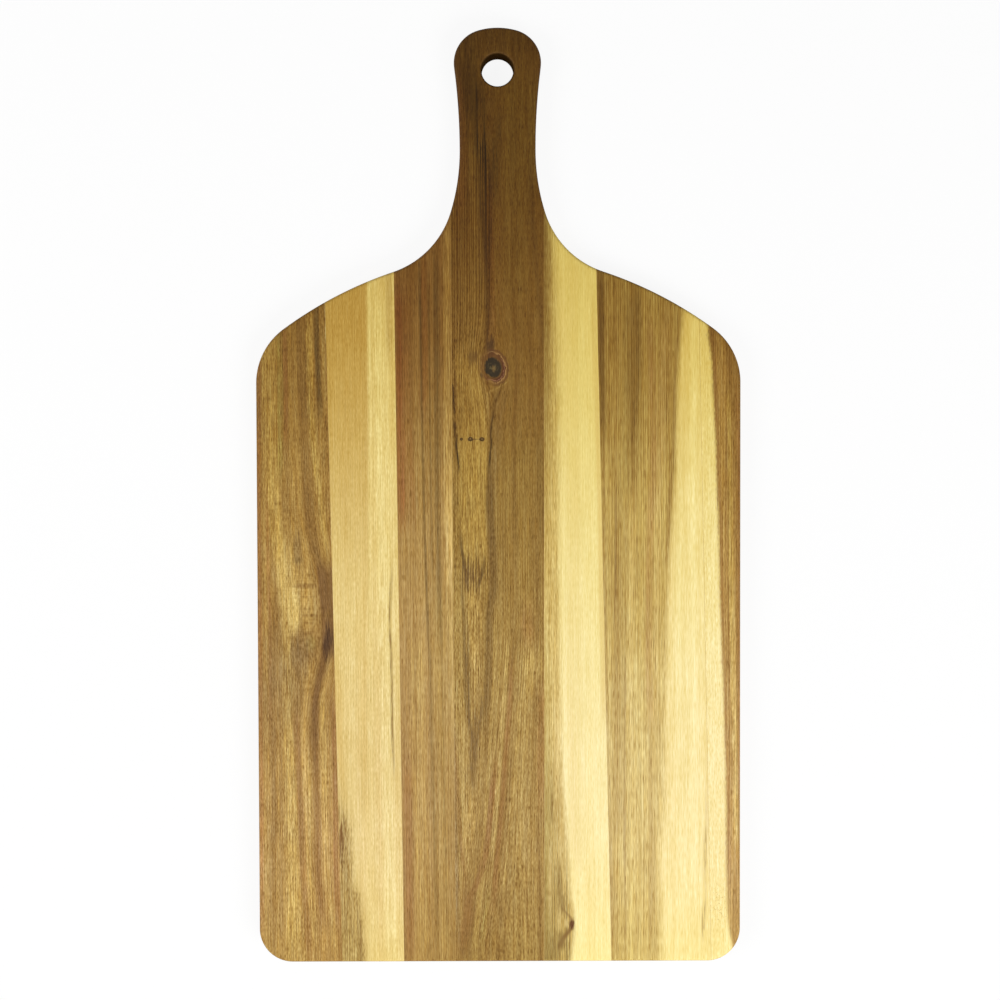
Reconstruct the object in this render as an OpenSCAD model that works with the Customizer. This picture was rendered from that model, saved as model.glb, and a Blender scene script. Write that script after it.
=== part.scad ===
// Paddle serving board, edge-glued from seven staves of figured hardwood.
// It lies flat: +Z is up, +Y runs from the base edge to the handle, and the
// origin is under the middle of its length and width.

/* [Board] */
// Width across the straight sides
board_w = 290; // [240:1:340]
// Length of the straight sides, from the base edge up
side_length = 349; // [250:1:450]
// Thickness of the board
thickness = 16; // [12:0.5:25]
// Radius of the two corners at the base
base_corner_radius = 20; // [8:1:40]
// Radius of the corners where the sides turn in
upper_corner_radius = 40; // [30:1:50]
// Radius of the long shoulders
shoulder_radius = 240; // [180:5:400]
// Radius that eases every outer edge
edge_round = 2; // [1:0.25:4]

/* [Handle] */
// Distance from the top of the straight sides up to the waist
neck_rise = 138.6; // [130:0.2:180]
// Distance from the waist to the end of the handle
handle_reach = 72.4; // [60:0.2:100]
// Width of the handle at its waist
waist_w = 45.3; // [36:0.1:56]
// Radius of the hollow between board and handle
neck_radius = 54; // [40:1:60]
// Radius of the gentler hollow just below the waist
throat_radius = 125; // [90:1:180]
// Angle that the gentler hollow turns through, in degrees
throat_turn = 17.3; // [10:0.1:25]
// Radius of the slight hollow above the waist
flare_radius = 380; // [250:5:600]
// Radius of the corners at the end of the handle
handle_corner_radius = 20; // [14:1:26]
// Radius of the crowned end of the handle
crown_radius = 42; // [34:1:60]

/* [Hanging hole] */
// Diameter of the hole
hole_d = 19; // [10:0.5:24]
// Distance from the end of the handle to the hole's centre
hole_inset = 25.3; // [22:0.1:40]
// Radius that eases the rims of the hole
hole_round = 1.5; // [0.5:0.25:3]

/* [Staves at the base edge] */
// How much wider the handle stave is than the widest part of the handle
handle_stave_spare = 1.6; // [1:0.1:10]
// Width of the reddish stave left of the handle stave
inner_left_w = 31; // [20:0.1:40]
// Width of the sapwood stave on the left
left_sapwood_w = 37.3; // [25:0.1:45]
// Width of the pale stave right of the handle stave
inner_right_w = 40.6; // [30:0.1:48]
// Width of the speckled stave at the right edge
outer_right_w = 17.5; // [12:0.1:30]

/* [Glue lines] */
// Thickness of the glue film
glue_film = 0.15; // [0.1:0.05:0.3]
// Shift of glue line 1 to the left, from the base to the top of the sides
shift_1 = 7.15; // [-9:0.05:9]
// Shift of glue line 2 to the left, from the base to the top of the sides
shift_2 = 3.65; // [-9:0.05:9]
// Shift of glue line 3 to the left, from the base to the top of the sides
shift_3 = 1.05; // [0:0.05:3]
// Shift of glue line 4 to the left, from the base to the top of the sides
shift_4 = -0.55; // [-3:0.05:0]
// Shift of glue line 5 to the left, from the base to the top of the sides
shift_5 = 7.3; // [-9:0.05:9]
// Shift of glue line 6 to the left, from the base to the top of the sides
shift_6 = 6.7; // [-6:0.05:9]

/* [Hidden] */
$fn = 96;

// How far a cut runs past the wood
overrun = 10;

// Levels along the board
board_length = side_length + neck_rise + handle_reach;
base_y = -board_length / 2;
side_top_y = base_y + side_length;
waist_y = side_top_y + neck_rise;
tip_y = waist_y + handle_reach;

// Direction from one point to another, in degrees
function heading(from, to) = atan2(to[1] - from[1], to[0] - from[0]);

// Point at r1 from c1 and r2 from c2, to the left (side 1) or right (side -1) of the way from c1 to c2
function meet(c1, r1, c2, r2, side) =
    let (d = norm(c2 - c1))
    let (along = (r1 * r1 - r2 * r2 + d * d) / (2 * d))
    let (off = side * sqrt(r1 * r1 - along * along))
    let (u = (c2 - c1) / d)
    c1 + along * u + off * [-u[1], u[0]];

// Centres of the arcs down the right half of the outline, each arc tangent to the next
crown_c = [0, tip_y - crown_radius];
flare_c = [waist_w / 2 + flare_radius, waist_y];
handle_corner_c = meet(
    crown_c, crown_radius - handle_corner_radius,
    flare_c, flare_radius + handle_corner_radius, 1
);
throat_c = [waist_w / 2 + throat_radius, waist_y];
neck_c = throat_c - (throat_radius - neck_radius) * [cos(throat_turn), sin(throat_turn)];
upper_corner_c = [board_w / 2 - upper_corner_radius, side_top_y];
shoulder_c = meet(
    neck_c, neck_radius + shoulder_radius,
    upper_corner_c, shoulder_radius - upper_corner_radius, -1
);
base_corner_c = [board_w / 2 - base_corner_radius, base_y + base_corner_radius];

// Angles at which one arc hands over to the next
crown_end = heading(crown_c, handle_corner_c);
flare_start = heading(handle_corner_c, flare_c);
throat_end = 180 + throat_turn;
neck_end = 360 + heading(neck_c, shoulder_c);
shoulder_end = heading(shoulder_c, upper_corner_c);

// Arcs from the end of the handle down: centre, radius, first angle, last angle,
// 1 for a bulge or -1 for a hollow, and whether a straight edge follows
ARCS = [
    [crown_c, crown_radius, 90, crown_end, 1, false],
    [handle_corner_c, handle_corner_radius, crown_end, flare_start, 1, false],
    [flare_c, flare_radius, flare_start + 180, 180, -1, false],
    [throat_c, throat_radius, 180, throat_end, -1, false],
    [neck_c, neck_radius, throat_end, neck_end, -1, false],
    [shoulder_c, shoulder_radius, neck_end - 180, shoulder_end, 1, false],
    [upper_corner_c, upper_corner_radius, shoulder_end, 0, 1, true],
    [base_corner_c, base_corner_radius, 0, -90, 1, true]
];

// Chords stay this close to their arc, and an eased edge has this many facets
arc_sag = 0.03;
ease_facets = 4;

// Points of the outline along one arc, moved in from the edge
function arc_points(arc, inset) =
    let (sweep = arc[3] - arc[2])
    let (steps = ceil(abs(sweep) / (2 * acos(1 - arc_sag / arc[1]))))
    let (last = arc[5] ? steps : steps - 1)
    [
        for (i = [0:last])
            let (a = arc[2] + sweep * i / steps)
            arc[0] + (arc[1] - arc[4] * inset) * [cos(a), sin(a)]
    ];

// The whole outline, clockwise seen from above, at one inset and height
function ring(inset, z) =
    let (right = [for (arc = ARCS) each arc_points(arc, inset)])
    concat(
        [for (p = right) [p[0], p[1], z]],
        [for (i = [len(right) - 1:-1:1]) [-right[i][0], right[i][1], z]]
    );

// Inset and height of each ring: up the eased lower edge, then up the eased upper edge
ease_turns = [for (i = [0:ease_facets]) 90 * i / ease_facets];
LEVELS = concat(
    [for (a = ease_turns) edge_round * [1 - sin(a), 1 - cos(a)]],
    [for (a = ease_turns) [edge_round * (1 - cos(a)), thickness - edge_round * (1 - sin(a))]]
);

// The outline carried up through every level, as one solid with no hole
module paddle() {
    rings = [for (level = LEVELS) ring(level[0], level[1])];
    n = len(rings[0]);
    top = len(LEVELS) - 1;
    walls = [
        for (j = [0:top - 1])
            for (i = [0:n - 1])
                let (k = (i + 1) % n)
                [j * n + i, j * n + k, (j + 1) * n + k, (j + 1) * n + i]
    ];
    // Each flat face is parted into strips from side to side, below a triangle at the end of the handle
    strips = concat([[0, 1, n - 1]], [for (i = [1:(n - 3) / 2]) [i, i + 1, n - i - 1, n - i]]);
    underside = [for (s = strips) [for (i = [len(s) - 1:-1:0]) s[i]]];
    upper_face = [for (s = strips) [for (i = s) top * n + i]];
    polyhedron([for (r = rings) each r], concat(underside, walls, upper_face));
}

// The hole's wall is a collar with eased rims, let into a wider cut
hole_c = [0, tip_y - hole_inset, 0];
collar_w = 3 * hole_round;
collar_lap = hole_round;

module hole_collar() {
    translate(hole_c)
        rotate_extrude() {
            translate([hole_d / 2 + hole_round, 0])
                square([collar_w - hole_round, thickness]);
            translate([hole_d / 2, hole_round])
                square([hole_round, thickness - 2 * hole_round]);
            for (z = [hole_round, thickness - hole_round])
                translate([hole_d / 2 + hole_round, z])
                    circle(r = hole_round);
        }
}

// The whole glued-up board, before it is parted into staves
module blank() {
    difference() {
        paddle();
        translate(hole_c - [0, 0, overrun])
            cylinder(d = hole_d + 2 * (collar_w - collar_lap), h = thickness + 2 * overrun);
    }
    hole_collar();
}

// The handle is shaped from one stave. The outermost left stave and the streaked right one fill what is left.
handle_end_w = 2 * (handle_corner_c[0] + handle_corner_radius);
handle_stave_w = handle_end_w + handle_stave_spare;

// Glue lines from left to right: their places on the base edge, and their shifts
seam_base_x = [
    -handle_stave_w / 2 - inner_left_w - left_sapwood_w,
    -handle_stave_w / 2 - inner_left_w,
    -handle_stave_w / 2,
    handle_stave_w / 2,
    handle_stave_w / 2 + inner_right_w,
    board_w / 2 - outer_right_w
];
seam_shift = [shift_1, shift_2, shift_3, shift_4, shift_5, shift_6];

// Where a glue line's middle crosses a level y
function seam_x(seam, y) = seam_base_x[seam] - seam_shift[seam] * (y - base_y) / side_length;

// A line along a glue line, shifted sideways, that overruns both ends of the board
function seam_line(seam, shift) =
    [for (y = [base_y - overrun, tip_y + overrun]) [seam_x(seam, y) + shift, y]];

// A line outside the board, on its left (-1) or right (1)
function outside_line(side) =
    [for (y = [base_y - overrun, tip_y + overrun]) [side * (board_w / 2 + overrun), y]];

// Keeps the part of the board between two lines
module between(left_line, right_line) {
    intersection() {
        blank();
        translate([0, 0, -overrun])
            linear_extrude(thickness + 2 * overrun)
                polygon([left_line[0], right_line[0], right_line[1], left_line[1]]);
    }
}

module stave_between(left_seam, right_seam) {
    between(seam_line(left_seam, glue_film / 2), seam_line(right_seam, -glue_film / 2));
}

module glue_line(seam) {
    color("darkgoldenrod")
        between(seam_line(seam, -glue_film / 2), seam_line(seam, glue_film / 2));
}

module outer_left_stave() {
    color([0.62, 0.44, 0.22])
        between(outside_line(-1), seam_line(0, -glue_film / 2));
}

module left_sapwood_stave() {
    color([0.88, 0.76, 0.45])
        stave_between(0, 1);
}

module inner_left_stave() {
    color([0.60, 0.41, 0.20])
        stave_between(1, 2);
}

module handle_stave() {
    color([0.48, 0.33, 0.15])
        stave_between(2, 3);
}

module inner_right_stave() {
    color([0.92, 0.81, 0.47])
        stave_between(3, 4);
}

module wide_right_stave() {
    color([0.66, 0.51, 0.28])
        stave_between(4, 5);
}

module outer_right_stave() {
    color([0.86, 0.73, 0.42])
        between(seam_line(5, glue_film / 2), outside_line(1));
}

outer_left_stave();
left_sapwood_stave();
inner_left_stave();
handle_stave();
inner_right_stave();
wide_right_stave();
outer_right_stave();
glue_line(0);  // glue_line_1
glue_line(1);  // glue_line_2
glue_line(2);  // glue_line_3
glue_line(3);  // glue_line_4
glue_line(4);  // glue_line_5
glue_line(5);  // glue_line_6
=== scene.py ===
# %% [markdown]
# # A paddle board glued up from acacia staves
#
# The real board is seven strips of wood, called staves, glued edge to edge, sawn to a paddle outline, bored at the
# end of its handle and rounded over along every edge. The packed CAD model gives the places and sizes, and this
# lesson gives each stave its finer edge, its knots and its own figured wood. First the CAD model is loaded.

# %% Load the CAD model
import math

import bmesh
import bpy
from mathutils import Matrix, Vector


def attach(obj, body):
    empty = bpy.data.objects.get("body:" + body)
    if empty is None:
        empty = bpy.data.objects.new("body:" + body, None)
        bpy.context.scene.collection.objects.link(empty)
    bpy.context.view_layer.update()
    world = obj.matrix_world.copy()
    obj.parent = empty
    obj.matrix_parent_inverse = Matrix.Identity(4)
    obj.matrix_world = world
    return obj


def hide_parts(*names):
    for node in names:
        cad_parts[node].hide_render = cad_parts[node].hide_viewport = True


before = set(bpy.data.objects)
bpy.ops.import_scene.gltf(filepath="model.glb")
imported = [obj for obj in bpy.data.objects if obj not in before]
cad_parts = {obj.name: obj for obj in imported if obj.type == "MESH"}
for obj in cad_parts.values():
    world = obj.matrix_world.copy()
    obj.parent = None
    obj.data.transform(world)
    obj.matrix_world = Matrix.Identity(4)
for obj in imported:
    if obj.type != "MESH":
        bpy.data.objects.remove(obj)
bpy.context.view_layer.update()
MM = 0.001
print("CAD nodes:", ", ".join(sorted(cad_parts)))

# %% [markdown]
# ## The outline
#
# The edge of the board is a chain of arcs, each of which meets the next one smoothly, with straight sides and a
# straight base. It could be drawn by hand as a Bezier curve, but arcs with named radii are what a maker marks out
# with a compass, and they are the same values as in the CAD source. Only the right half is worked out, and the left
# half mirrors it.

# %% Sizes in millimetres
BOARD_W, THICKNESS, EDGE_ROUND = 290.0, 16.0, 2.0
SIDE_LENGTH, NECK_RISE, HANDLE_REACH, WAIST_W = 349.0, 138.6, 72.4, 45.3
BASE_CORNER, UPPER_CORNER, SHOULDER, NECK = 20.0, 40.0, 240.0, 54.0
THROAT, THROAT_TURN, FLARE, HANDLE_CORNER, CROWN = 125.0, 17.3, 380.0, 20.0, 42.0
HOLE_D, HOLE_INSET, HOLE_ROUND = 19.0, 25.3, 1.5

TIP_Y = (SIDE_LENGTH + NECK_RISE + HANDLE_REACH) / 2
BASE_Y = -TIP_Y
SIDE_TOP_Y = BASE_Y + SIDE_LENGTH
WAIST_Y = SIDE_TOP_Y + NECK_RISE
print(f"the board is {TIP_Y - BASE_Y:.0f} mm long and {BOARD_W:.0f} mm wide")


# %% Arcs that meet smoothly
def meet(c1, r1, c2, r2, side):
    """The point at r1 from c1 and at r2 from c2, on one side of the line between them."""
    gap = c2 - c1
    along = (r1**2 - r2**2 + gap.length_squared) / (2 * gap.length)
    off = side * math.sqrt(r1**2 - along**2)
    unit = gap.normalized()
    return c1 + along * unit + off * Vector((-unit.y, unit.x))


def heading(start, end):
    """The direction from one point to another, in degrees."""
    return math.degrees(math.atan2(end.y - start.y, end.x - start.x))


def paddle_arcs():
    """Each arc as centre, radius, first and last angle, and 1 for a bulge or -1 for a hollow."""
    crown = Vector((0, TIP_Y - CROWN))
    flare = Vector((WAIST_W / 2 + FLARE, WAIST_Y))
    corner = meet(crown, CROWN - HANDLE_CORNER, flare, FLARE + HANDLE_CORNER, 1)
    throat = Vector((WAIST_W / 2 + THROAT, WAIST_Y))
    turn = math.radians(THROAT_TURN)
    neck = throat - (THROAT - NECK) * Vector((math.cos(turn), math.sin(turn)))
    upper = Vector((BOARD_W / 2 - UPPER_CORNER, SIDE_TOP_Y))
    shoulder = meet(neck, NECK + SHOULDER, upper, SHOULDER - UPPER_CORNER, -1)
    base = Vector((BOARD_W / 2 - BASE_CORNER, BASE_Y + BASE_CORNER))
    crown_end, flare_start = heading(crown, corner), heading(corner, flare)
    neck_end, shoulder_end = heading(neck, shoulder) + 360, heading(shoulder, upper)
    return [
        (crown, CROWN, 90, crown_end, 1),
        (corner, HANDLE_CORNER, crown_end, flare_start, 1),
        (flare, FLARE, flare_start + 180, 180, -1),
        (throat, THROAT, 180, 180 + THROAT_TURN, -1),
        (neck, NECK, 180 + THROAT_TURN, neck_end, -1),
        (shoulder, SHOULDER, neck_end - 180, shoulder_end, 1),
        (upper, UPPER_CORNER, shoulder_end, 0, 1),
        (base, BASE_CORNER, 0, -90, 1),
    ]


print("arcs on each side:", len(paddle_arcs()))

# %% The outline as points
ARC_SAG = 0.006  # how far a facet may lie inside its arc


def outline(inset):
    """The points of the whole outline, moved inwards by inset, clockwise from the end of the handle."""
    right = []
    for centre, radius, first, last, bulge in paddle_arcs():
        steps = math.ceil(abs(last - first) / math.degrees(2 * math.acos(1 - ARC_SAG / radius)))
        for i in range(steps + 1):
            a = math.radians(first + (last - first) * i / steps)
            point = centre + (radius - bulge * inset) * Vector((math.cos(a), math.sin(a)))
            if i or not right or (point - right[-1]).length > 0.5:
                right.append(point)
    return right + [Vector((-p.x, p.y)) for p in reversed(right[1:])]


print("points on the outline:", len(outline(0)))

# %% [markdown]
# ## The blank
#
# Before it is thought of as staves, the board is one blank: the outline carried up through the thickness, with a
# quarter-round along both edges and round both rims of the hanging hole. A Bevel modifier could round the edges,
# but it needs care at the hollow neck, while rings of the same outline at set insets give an exact quarter-round.

# %% Rings of the outline and of the hole, closed by two flat faces
EDGE_FACETS, HOLE_POINTS = 10, 120


def eased_levels(radius):
    """Inset and height of each ring, up the lower quarter-round and then up the upper one."""
    turns = [math.pi / 2 * i / EDGE_FACETS for i in range(EDGE_FACETS + 1)]
    lower = [(radius * (1 - math.sin(a)), radius * (1 - math.cos(a))) for a in turns]
    return lower + [(inset, THICKNESS - z) for inset, z in reversed(lower)]


def hole_ring(inset):
    """The points of the hanging hole, widened by inset."""
    middle, radius = Vector((0, TIP_Y - HOLE_INSET)), HOLE_D / 2 + inset
    turns = [math.tau * i / HOLE_POINTS for i in range(HOLE_POINTS)]
    return [middle + radius * Vector((math.cos(a), math.sin(a))) for a in turns]


def make_blank():
    mesh = bmesh.new()
    rims = []
    for ring, radius in ((outline, EDGE_ROUND), (hole_ring, HOLE_ROUND)):
        loops = []
        for inset, z in eased_levels(radius):
            loops.append([mesh.verts.new((p.x * MM, p.y * MM, z * MM)) for p in ring(inset)])
        for low, high in zip(loops, loops[1:]):
            for i in range(len(low)):
                k = (i + 1) % len(low)
                mesh.faces.new((low[i], low[k], high[k], high[i]))
        rims.append((loops[0], loops[-1]))
    for end in (0, 1):
        loops = [rim[end] for rim in rims]
        edges = [mesh.edges.get((loop[i - 1], loop[i])) for loop in loops for i in range(len(loop))]
        bmesh.ops.triangle_fill(mesh, edges=edges, use_beauty=True)
    bmesh.ops.recalc_face_normals(mesh, faces=mesh.faces)
    data = bpy.data.meshes.new("blank")
    mesh.to_mesh(data)
    closed = all(len(edge.link_faces) == 2 for edge in mesh.edges)
    mesh.free()
    return data, closed


blank, blank_closed = make_blank()
print(f"the blank has {len(blank.polygons)} faces, closed: {blank_closed}")

# %% [markdown]
# ## Node trees written as sums
#
# Both the shapes and the woods below are node trees. Placing and linking every Math node by hand is slow to read, so
# one small class wraps a socket and overloads the operators: an expression such as 1 - mask adds the nodes it needs.
# Every other node comes from one method, which sets the node's settings first and its inputs after that.


# %% A socket that takes part in sums
class Term:
    """One output socket of a tree. An operator on it adds a Math node."""

    def __init__(self, tree, socket):
        self.tree, self.socket = tree, socket

    def math(self, operation, *others):
        return self.tree.node("ShaderNodeMath", (self, *others), operation=operation)

    def __add__(self, other):
        return self.math("ADD", other)

    def __sub__(self, other):
        return self.math("SUBTRACT", other)

    def __rsub__(self, other):
        return self.tree.node("ShaderNodeMath", (other, self), operation="SUBTRACT")

    def __mul__(self, other):
        return self.math("MULTIPLY", other)

    def __truediv__(self, other):
        return self.math("DIVIDE", other)

    def __pow__(self, other):
        return self.math("POWER", other)

    def __abs__(self):
        return self.math("ABSOLUTE")

    __radd__, __rmul__ = __add__, __mul__


class Tree:
    """A node tree that is filled by one method."""

    def __init__(self, nodes):
        self.tree = nodes

    def node(self, kind, inputs=(), output=0, **settings):
        made = self.tree.nodes.new(kind)
        for name, value in settings.items():
            if name == "curve":
                self.draw(made.mapping, value)
            else:
                setattr(made, name, value)
        for key, value in inputs.items() if isinstance(inputs, dict) else enumerate(inputs):
            for one in value if isinstance(value, list) else [value]:
                if isinstance(one, Term):
                    self.tree.links.new(one.socket, made.inputs[key])
                elif one is not None:
                    made.inputs[key].default_value = one
        return Term(self, made.outputs[output]) if made.outputs else made

    def axes(self, vector):
        """The x, y and z of a vector, as three terms."""
        parts = self.node("ShaderNodeSeparateXYZ", (vector,)).socket.node.outputs
        return [Term(self, part) for part in parts]

    @staticmethod
    def draw(mapping, points):
        """Sets the points of a Float Curve, and holds its end values beyond them."""
        mapping.extend = "HORIZONTAL"
        curve = mapping.curves[0]
        for i, (at, value) in enumerate(sorted(points)):
            point = curve.points[i] if i < 2 else curve.points.new(at, value)
            point.location = (at, value)
            point.handle_type = "AUTO_CLAMPED"
        mapping.update()


# %% [markdown]
# ## Cutting the staves with Geometry Nodes
#
# Every stave follows one rule: it is what the blank has between two glue lines. The lines lean a little, since no
# two staves are sawn quite parallel. A knife cut in edit mode would do it once, but a node tree with the two lines
# as inputs cuts all seven staves, and the six films of glue between them as well. The tree makes a slab between the
# lines, keeps what the blank and the slab share, and takes out the open marks of the wood, such as a check or a pin
# knot, which are a second small tree: a spindle swept along a path.

# %% Glue lines from left to right
GLUE_FILM = 0.15
HANDLE_STAVE_SPARE = 1.6
corner_arc = paddle_arcs()[1]
handle_half = corner_arc[0].x + HANDLE_CORNER + HANDLE_STAVE_SPARE / 2
INNER_LEFT_W, LEFT_SAPWOOD_W, INNER_RIGHT_W, OUTER_RIGHT_W = 31.0, 37.3, 40.6, 17.5
LINE_X = [
    -handle_half - INNER_LEFT_W - LEFT_SAPWOOD_W,
    -handle_half - INNER_LEFT_W,
    -handle_half,
    handle_half,
    handle_half + INNER_RIGHT_W,
    BOARD_W / 2 - OUTER_RIGHT_W,
]
LINE_SHIFT = [7.15, 3.65, 1.05, -0.55, 7.3, 6.7]
SPARE = 20.0  # how far the slabs reach past the board
OUTSIDE = (BOARD_W + SPARE) / 2
print("glue lines at the base:", [round(x, 2) for x in LINE_X])


# %% The tree that cuts between two lines
def new_tree(name, inputs):
    """A geometry tree with named inputs, and its group input as a dictionary of terms."""
    tree = bpy.data.node_groups.new(name, "GeometryNodeTree")
    tree.interface.new_socket("Geometry", in_out="INPUT", socket_type="NodeSocketGeometry")
    for socket, kind in inputs.items():
        tree.interface.new_socket(socket, in_out="INPUT", socket_type="NodeSocket" + kind)
    tree.interface.new_socket("Geometry", in_out="OUTPUT", socket_type="NodeSocketGeometry")
    nodes = Tree(tree)
    entry = tree.nodes.new("NodeGroupInput")
    return nodes, {socket.name: Term(nodes, socket) for socket in entry.outputs if socket.name}


def stave_tree():
    lines = ("Left line", "Left shift", "Right line", "Right shift", "Base", "Side length", "Reach")
    kinds = {**dict.fromkeys(lines, "Float"), "Marks": "Object", "Wood": "Material"}
    t, given = new_tree("cut_between_glue_lines", kinds)
    slab = t.node("GeometryNodeMeshCube", {"Size": (2, 2, 2)})
    side, along, up = t.axes(t.node("GeometryNodeInputPosition"))
    right = side * 0.5 + 0.5
    line = given["Left line"] * (1 - right) + given["Right line"] * right
    shift = given["Left shift"] * (1 - right) + given["Right shift"] * right
    y = along * given["Reach"]
    x = line - shift * (y - given["Base"]) / given["Side length"]
    place = t.node("ShaderNodeCombineXYZ", (x, y, up * given["Reach"]))
    slab = t.node("GeometryNodeSetPosition", {"Geometry": slab, "Position": place})
    both = {"Mesh 2": [given["Geometry"], slab]}
    stave = t.node("GeometryNodeMeshBoolean", both, operation="INTERSECT", solver="EXACT")
    marks = t.node("GeometryNodeObjectInfo", {"Object": given["Marks"]}, "Geometry")
    both = {"Mesh 1": stave, "Mesh 2": [marks]}
    stave = t.node("GeometryNodeMeshBoolean", both, operation="DIFFERENCE", solver="EXACT")
    stave = t.node("GeometryNodeRealizeInstances", (stave,))
    stave = t.node("GeometryNodeSetMaterial", {"Geometry": stave, "Material": given["Wood"]})
    t.node("NodeGroupOutput", (stave,))
    return t.tree


cut_tree = stave_tree()
print("tree:", cut_tree.name, len(cut_tree.nodes), "nodes")

# %% The tree that makes open marks
SPINDLE_SIDES = 14


def mark_tree():
    """Sweeps a circle along each path, as wide as the path's own radius, and flattens it about the upper face."""
    t, given = new_tree("open_marks", {"Face": "Float", "Flatten": "Float"})
    circle = t.node("GeometryNodeCurvePrimitiveCircle", {"Resolution": SPINDLE_SIDES, "Radius": 1.0})
    wide = t.node("GeometryNodeInputRadius")
    sweep = {"Curve": given["Geometry"], "Profile Curve": circle, "Scale": wide, "Fill Caps": True}
    spindle = t.node("GeometryNodeCurveToMesh", sweep)
    x, y, z = t.axes(t.node("GeometryNodeInputPosition"))
    flattened = given["Face"] + (z - given["Face"]) * given["Flatten"]
    place = t.node("ShaderNodeCombineXYZ", (x, y, flattened))
    spindle = t.node("GeometryNodeSetPosition", {"Geometry": spindle, "Position": place})
    spindle = t.node("GeometryNodeRealizeInstances", (spindle,))
    t.node("NodeGroupOutput", (spindle,))
    return t.tree


open_tree = mark_tree()
print("tree:", open_tree.name, len(open_tree.nodes), "nodes")


# %% Running a tree on an object
def run_tree(data, tree, values):
    """The plain mesh that a tree makes of some data, with its inputs set by their identifiers."""
    carrier = bpy.data.objects.new("carrier", data)
    bpy.context.scene.collection.objects.link(carrier)
    modifier = carrier.modifiers.new("tree", "NODES")
    modifier.node_group = tree
    ids = {item.name: item.identifier for item in tree.interface.items_tree if item.in_out == "INPUT"}
    for name, value in values.items():
        modifier[ids[name]] = value
    graph = bpy.context.evaluated_depsgraph_get()
    made = bpy.data.meshes.new_from_object(carrier.evaluated_get(graph))
    bpy.data.objects.remove(carrier)
    return made


# %% [markdown]
# ## Open marks in the wood
#
# Most of the figure is only colour, but a few marks are really open on the sanded face: the checks along the edge of
# the handle stave, the crack beside its golden field, the cracks round the large knot, the three pin knots and the
# small knot near the base. Each one is a path with a radius at each point, in millimetres, so that its spindle fades
# out at both ends.

# %% Paths of the open marks
CHECKS = [
    [(68, -27.2), (63, -26.8), (57, -26.7), (50, -26.4)],
    [(46, -26.4), (41, -26), (36, -25.9)],
    [(37, -25.2), (32, -25.4), (27, -25), (22, -24.3), (16, -24)],
]
CHECK_RADII = (0.42, 0.26, 0.32)
FIELD_CRACK = [(50, -3.0), (43, -4.1), (37, -4.5), (33, -4.2), (27, -4.8), (20, -5.6)]
KNOT = Vector((-3.1, 78.0))
KNOT_RX, KNOT_RY = 4.9, 6.0
PIN_KNOTS = [(-22.2, 35.3, 0.55), (-16.8, 35.3, 0.85), (-9.9, 35.2, 0.8)]
SMALL_KNOT = [(-252.5, 42.2), (-255.0, 43.6), (-258.0, 43.7), (-261.0, 42.2), (-265.5, 38.6)]
BLUNT_END, CRACK_STEPS, PIT_STEPS = 0.12, 12, (-1, -0.8, -0.4, 0, 0.4, 0.8, 1)


def tapered(points, widest):
    """A path of (y, x) points with a radius at each, widest in the middle."""
    turn = math.pi / (len(points) - 1)
    return [(x, y, widest * (BLUNT_END + math.sin(turn * i))) for i, (y, x) in enumerate(points)]


def knot_crack(first, last, size, widest):
    """Part of an ellipse round the large knot, between two angles in degrees."""
    wide, long = size * KNOT_RX, size * KNOT_RY
    turns = [math.radians(first + (last - first) * i / CRACK_STEPS) for i in range(CRACK_STEPS + 1)]
    path = [(KNOT.y + long * math.sin(a), KNOT.x + wide * math.cos(a)) for a in turns]
    return tapered(path, widest)


def pit(x, y, radius):
    """A short spindle that is nearly a ball."""
    return [(x, y + radius * step, radius * math.sqrt(1.02 - step**2)) for step in PIT_STEPS]


HANDLE_MARKS = [tapered(check, widest) for check, widest in zip(CHECKS, CHECK_RADII)]
HANDLE_MARKS += [tapered(FIELD_CRACK, 0.2)]
HANDLE_MARKS += [knot_crack(200, 330, 1.0, 0.26), knot_crack(20, 150, 1.02, 0.2), knot_crack(-60, 80, 1.5, 0.16)]
HANDLE_MARKS += [pit(*pin) for pin in PIN_KNOTS]
RIGHT_MARKS = [tapered(SMALL_KNOT[:4], 0.3)]
MARK_FLATTEN = 0.8


def carve(name, paths):
    """The spindles of some marks, as one mesh object that the cut takes out of a stave."""
    curve = bpy.data.curves.new(name, "CURVE")
    curve.dimensions = "3D"
    for path in paths:
        spline = curve.splines.new("POLY")
        spline.points.add(len(path) - 1)
        for point, (x, y, radius) in zip(spline.points, path):
            point.co = (x * MM, y * MM, THICKNESS * MM, 1)
            point.radius = radius * MM
    mesh = run_tree(curve, open_tree, {"Face": THICKNESS * MM, "Flatten": MARK_FLATTEN})
    bpy.data.curves.remove(curve)
    return bpy.data.objects.new(name, mesh)


marks = {
    "handle_stave": carve("handle_marks", HANDLE_MARKS),
    "inner_right_stave": carve("right_marks", RIGHT_MARKS),
}
print("open marks:", {name: len(piece.data.polygons) for name, piece in marks.items()})

# %% [markdown]
# ## What a stave's wood is made of
#
# Acacia heartwood is brown, with golden, red and nearly black strands, and its sapwood is the colour of cream. A
# ready-made wood texture would give the same stripes everywhere, and this board is known by its own figure. So each
# wood here is painted in layers on millimetre coordinates: two base tones in broad bands, then strands that follow
# drawn courses, then fibres and pores that are the same in all acacia. A course is a short table of places, y: x, and
# a Float Curve node runs a smooth line through them. The coordinates lean with the depth, as growth rings do, so the
# figure runs on over the edges and through to the underside.


# %% Colours as they look under plain light
def paint(red, green, blue):
    """A colour given in the usual 0 to 255 per channel, as the linear values that a shader takes."""
    channels = [c / 255 for c in (red, green, blue)]
    return tuple(c / 12.92 if c < 0.04045 else ((c + 0.055) / 1.055) ** 2.4 for c in channels) + (1.0,)


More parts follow.
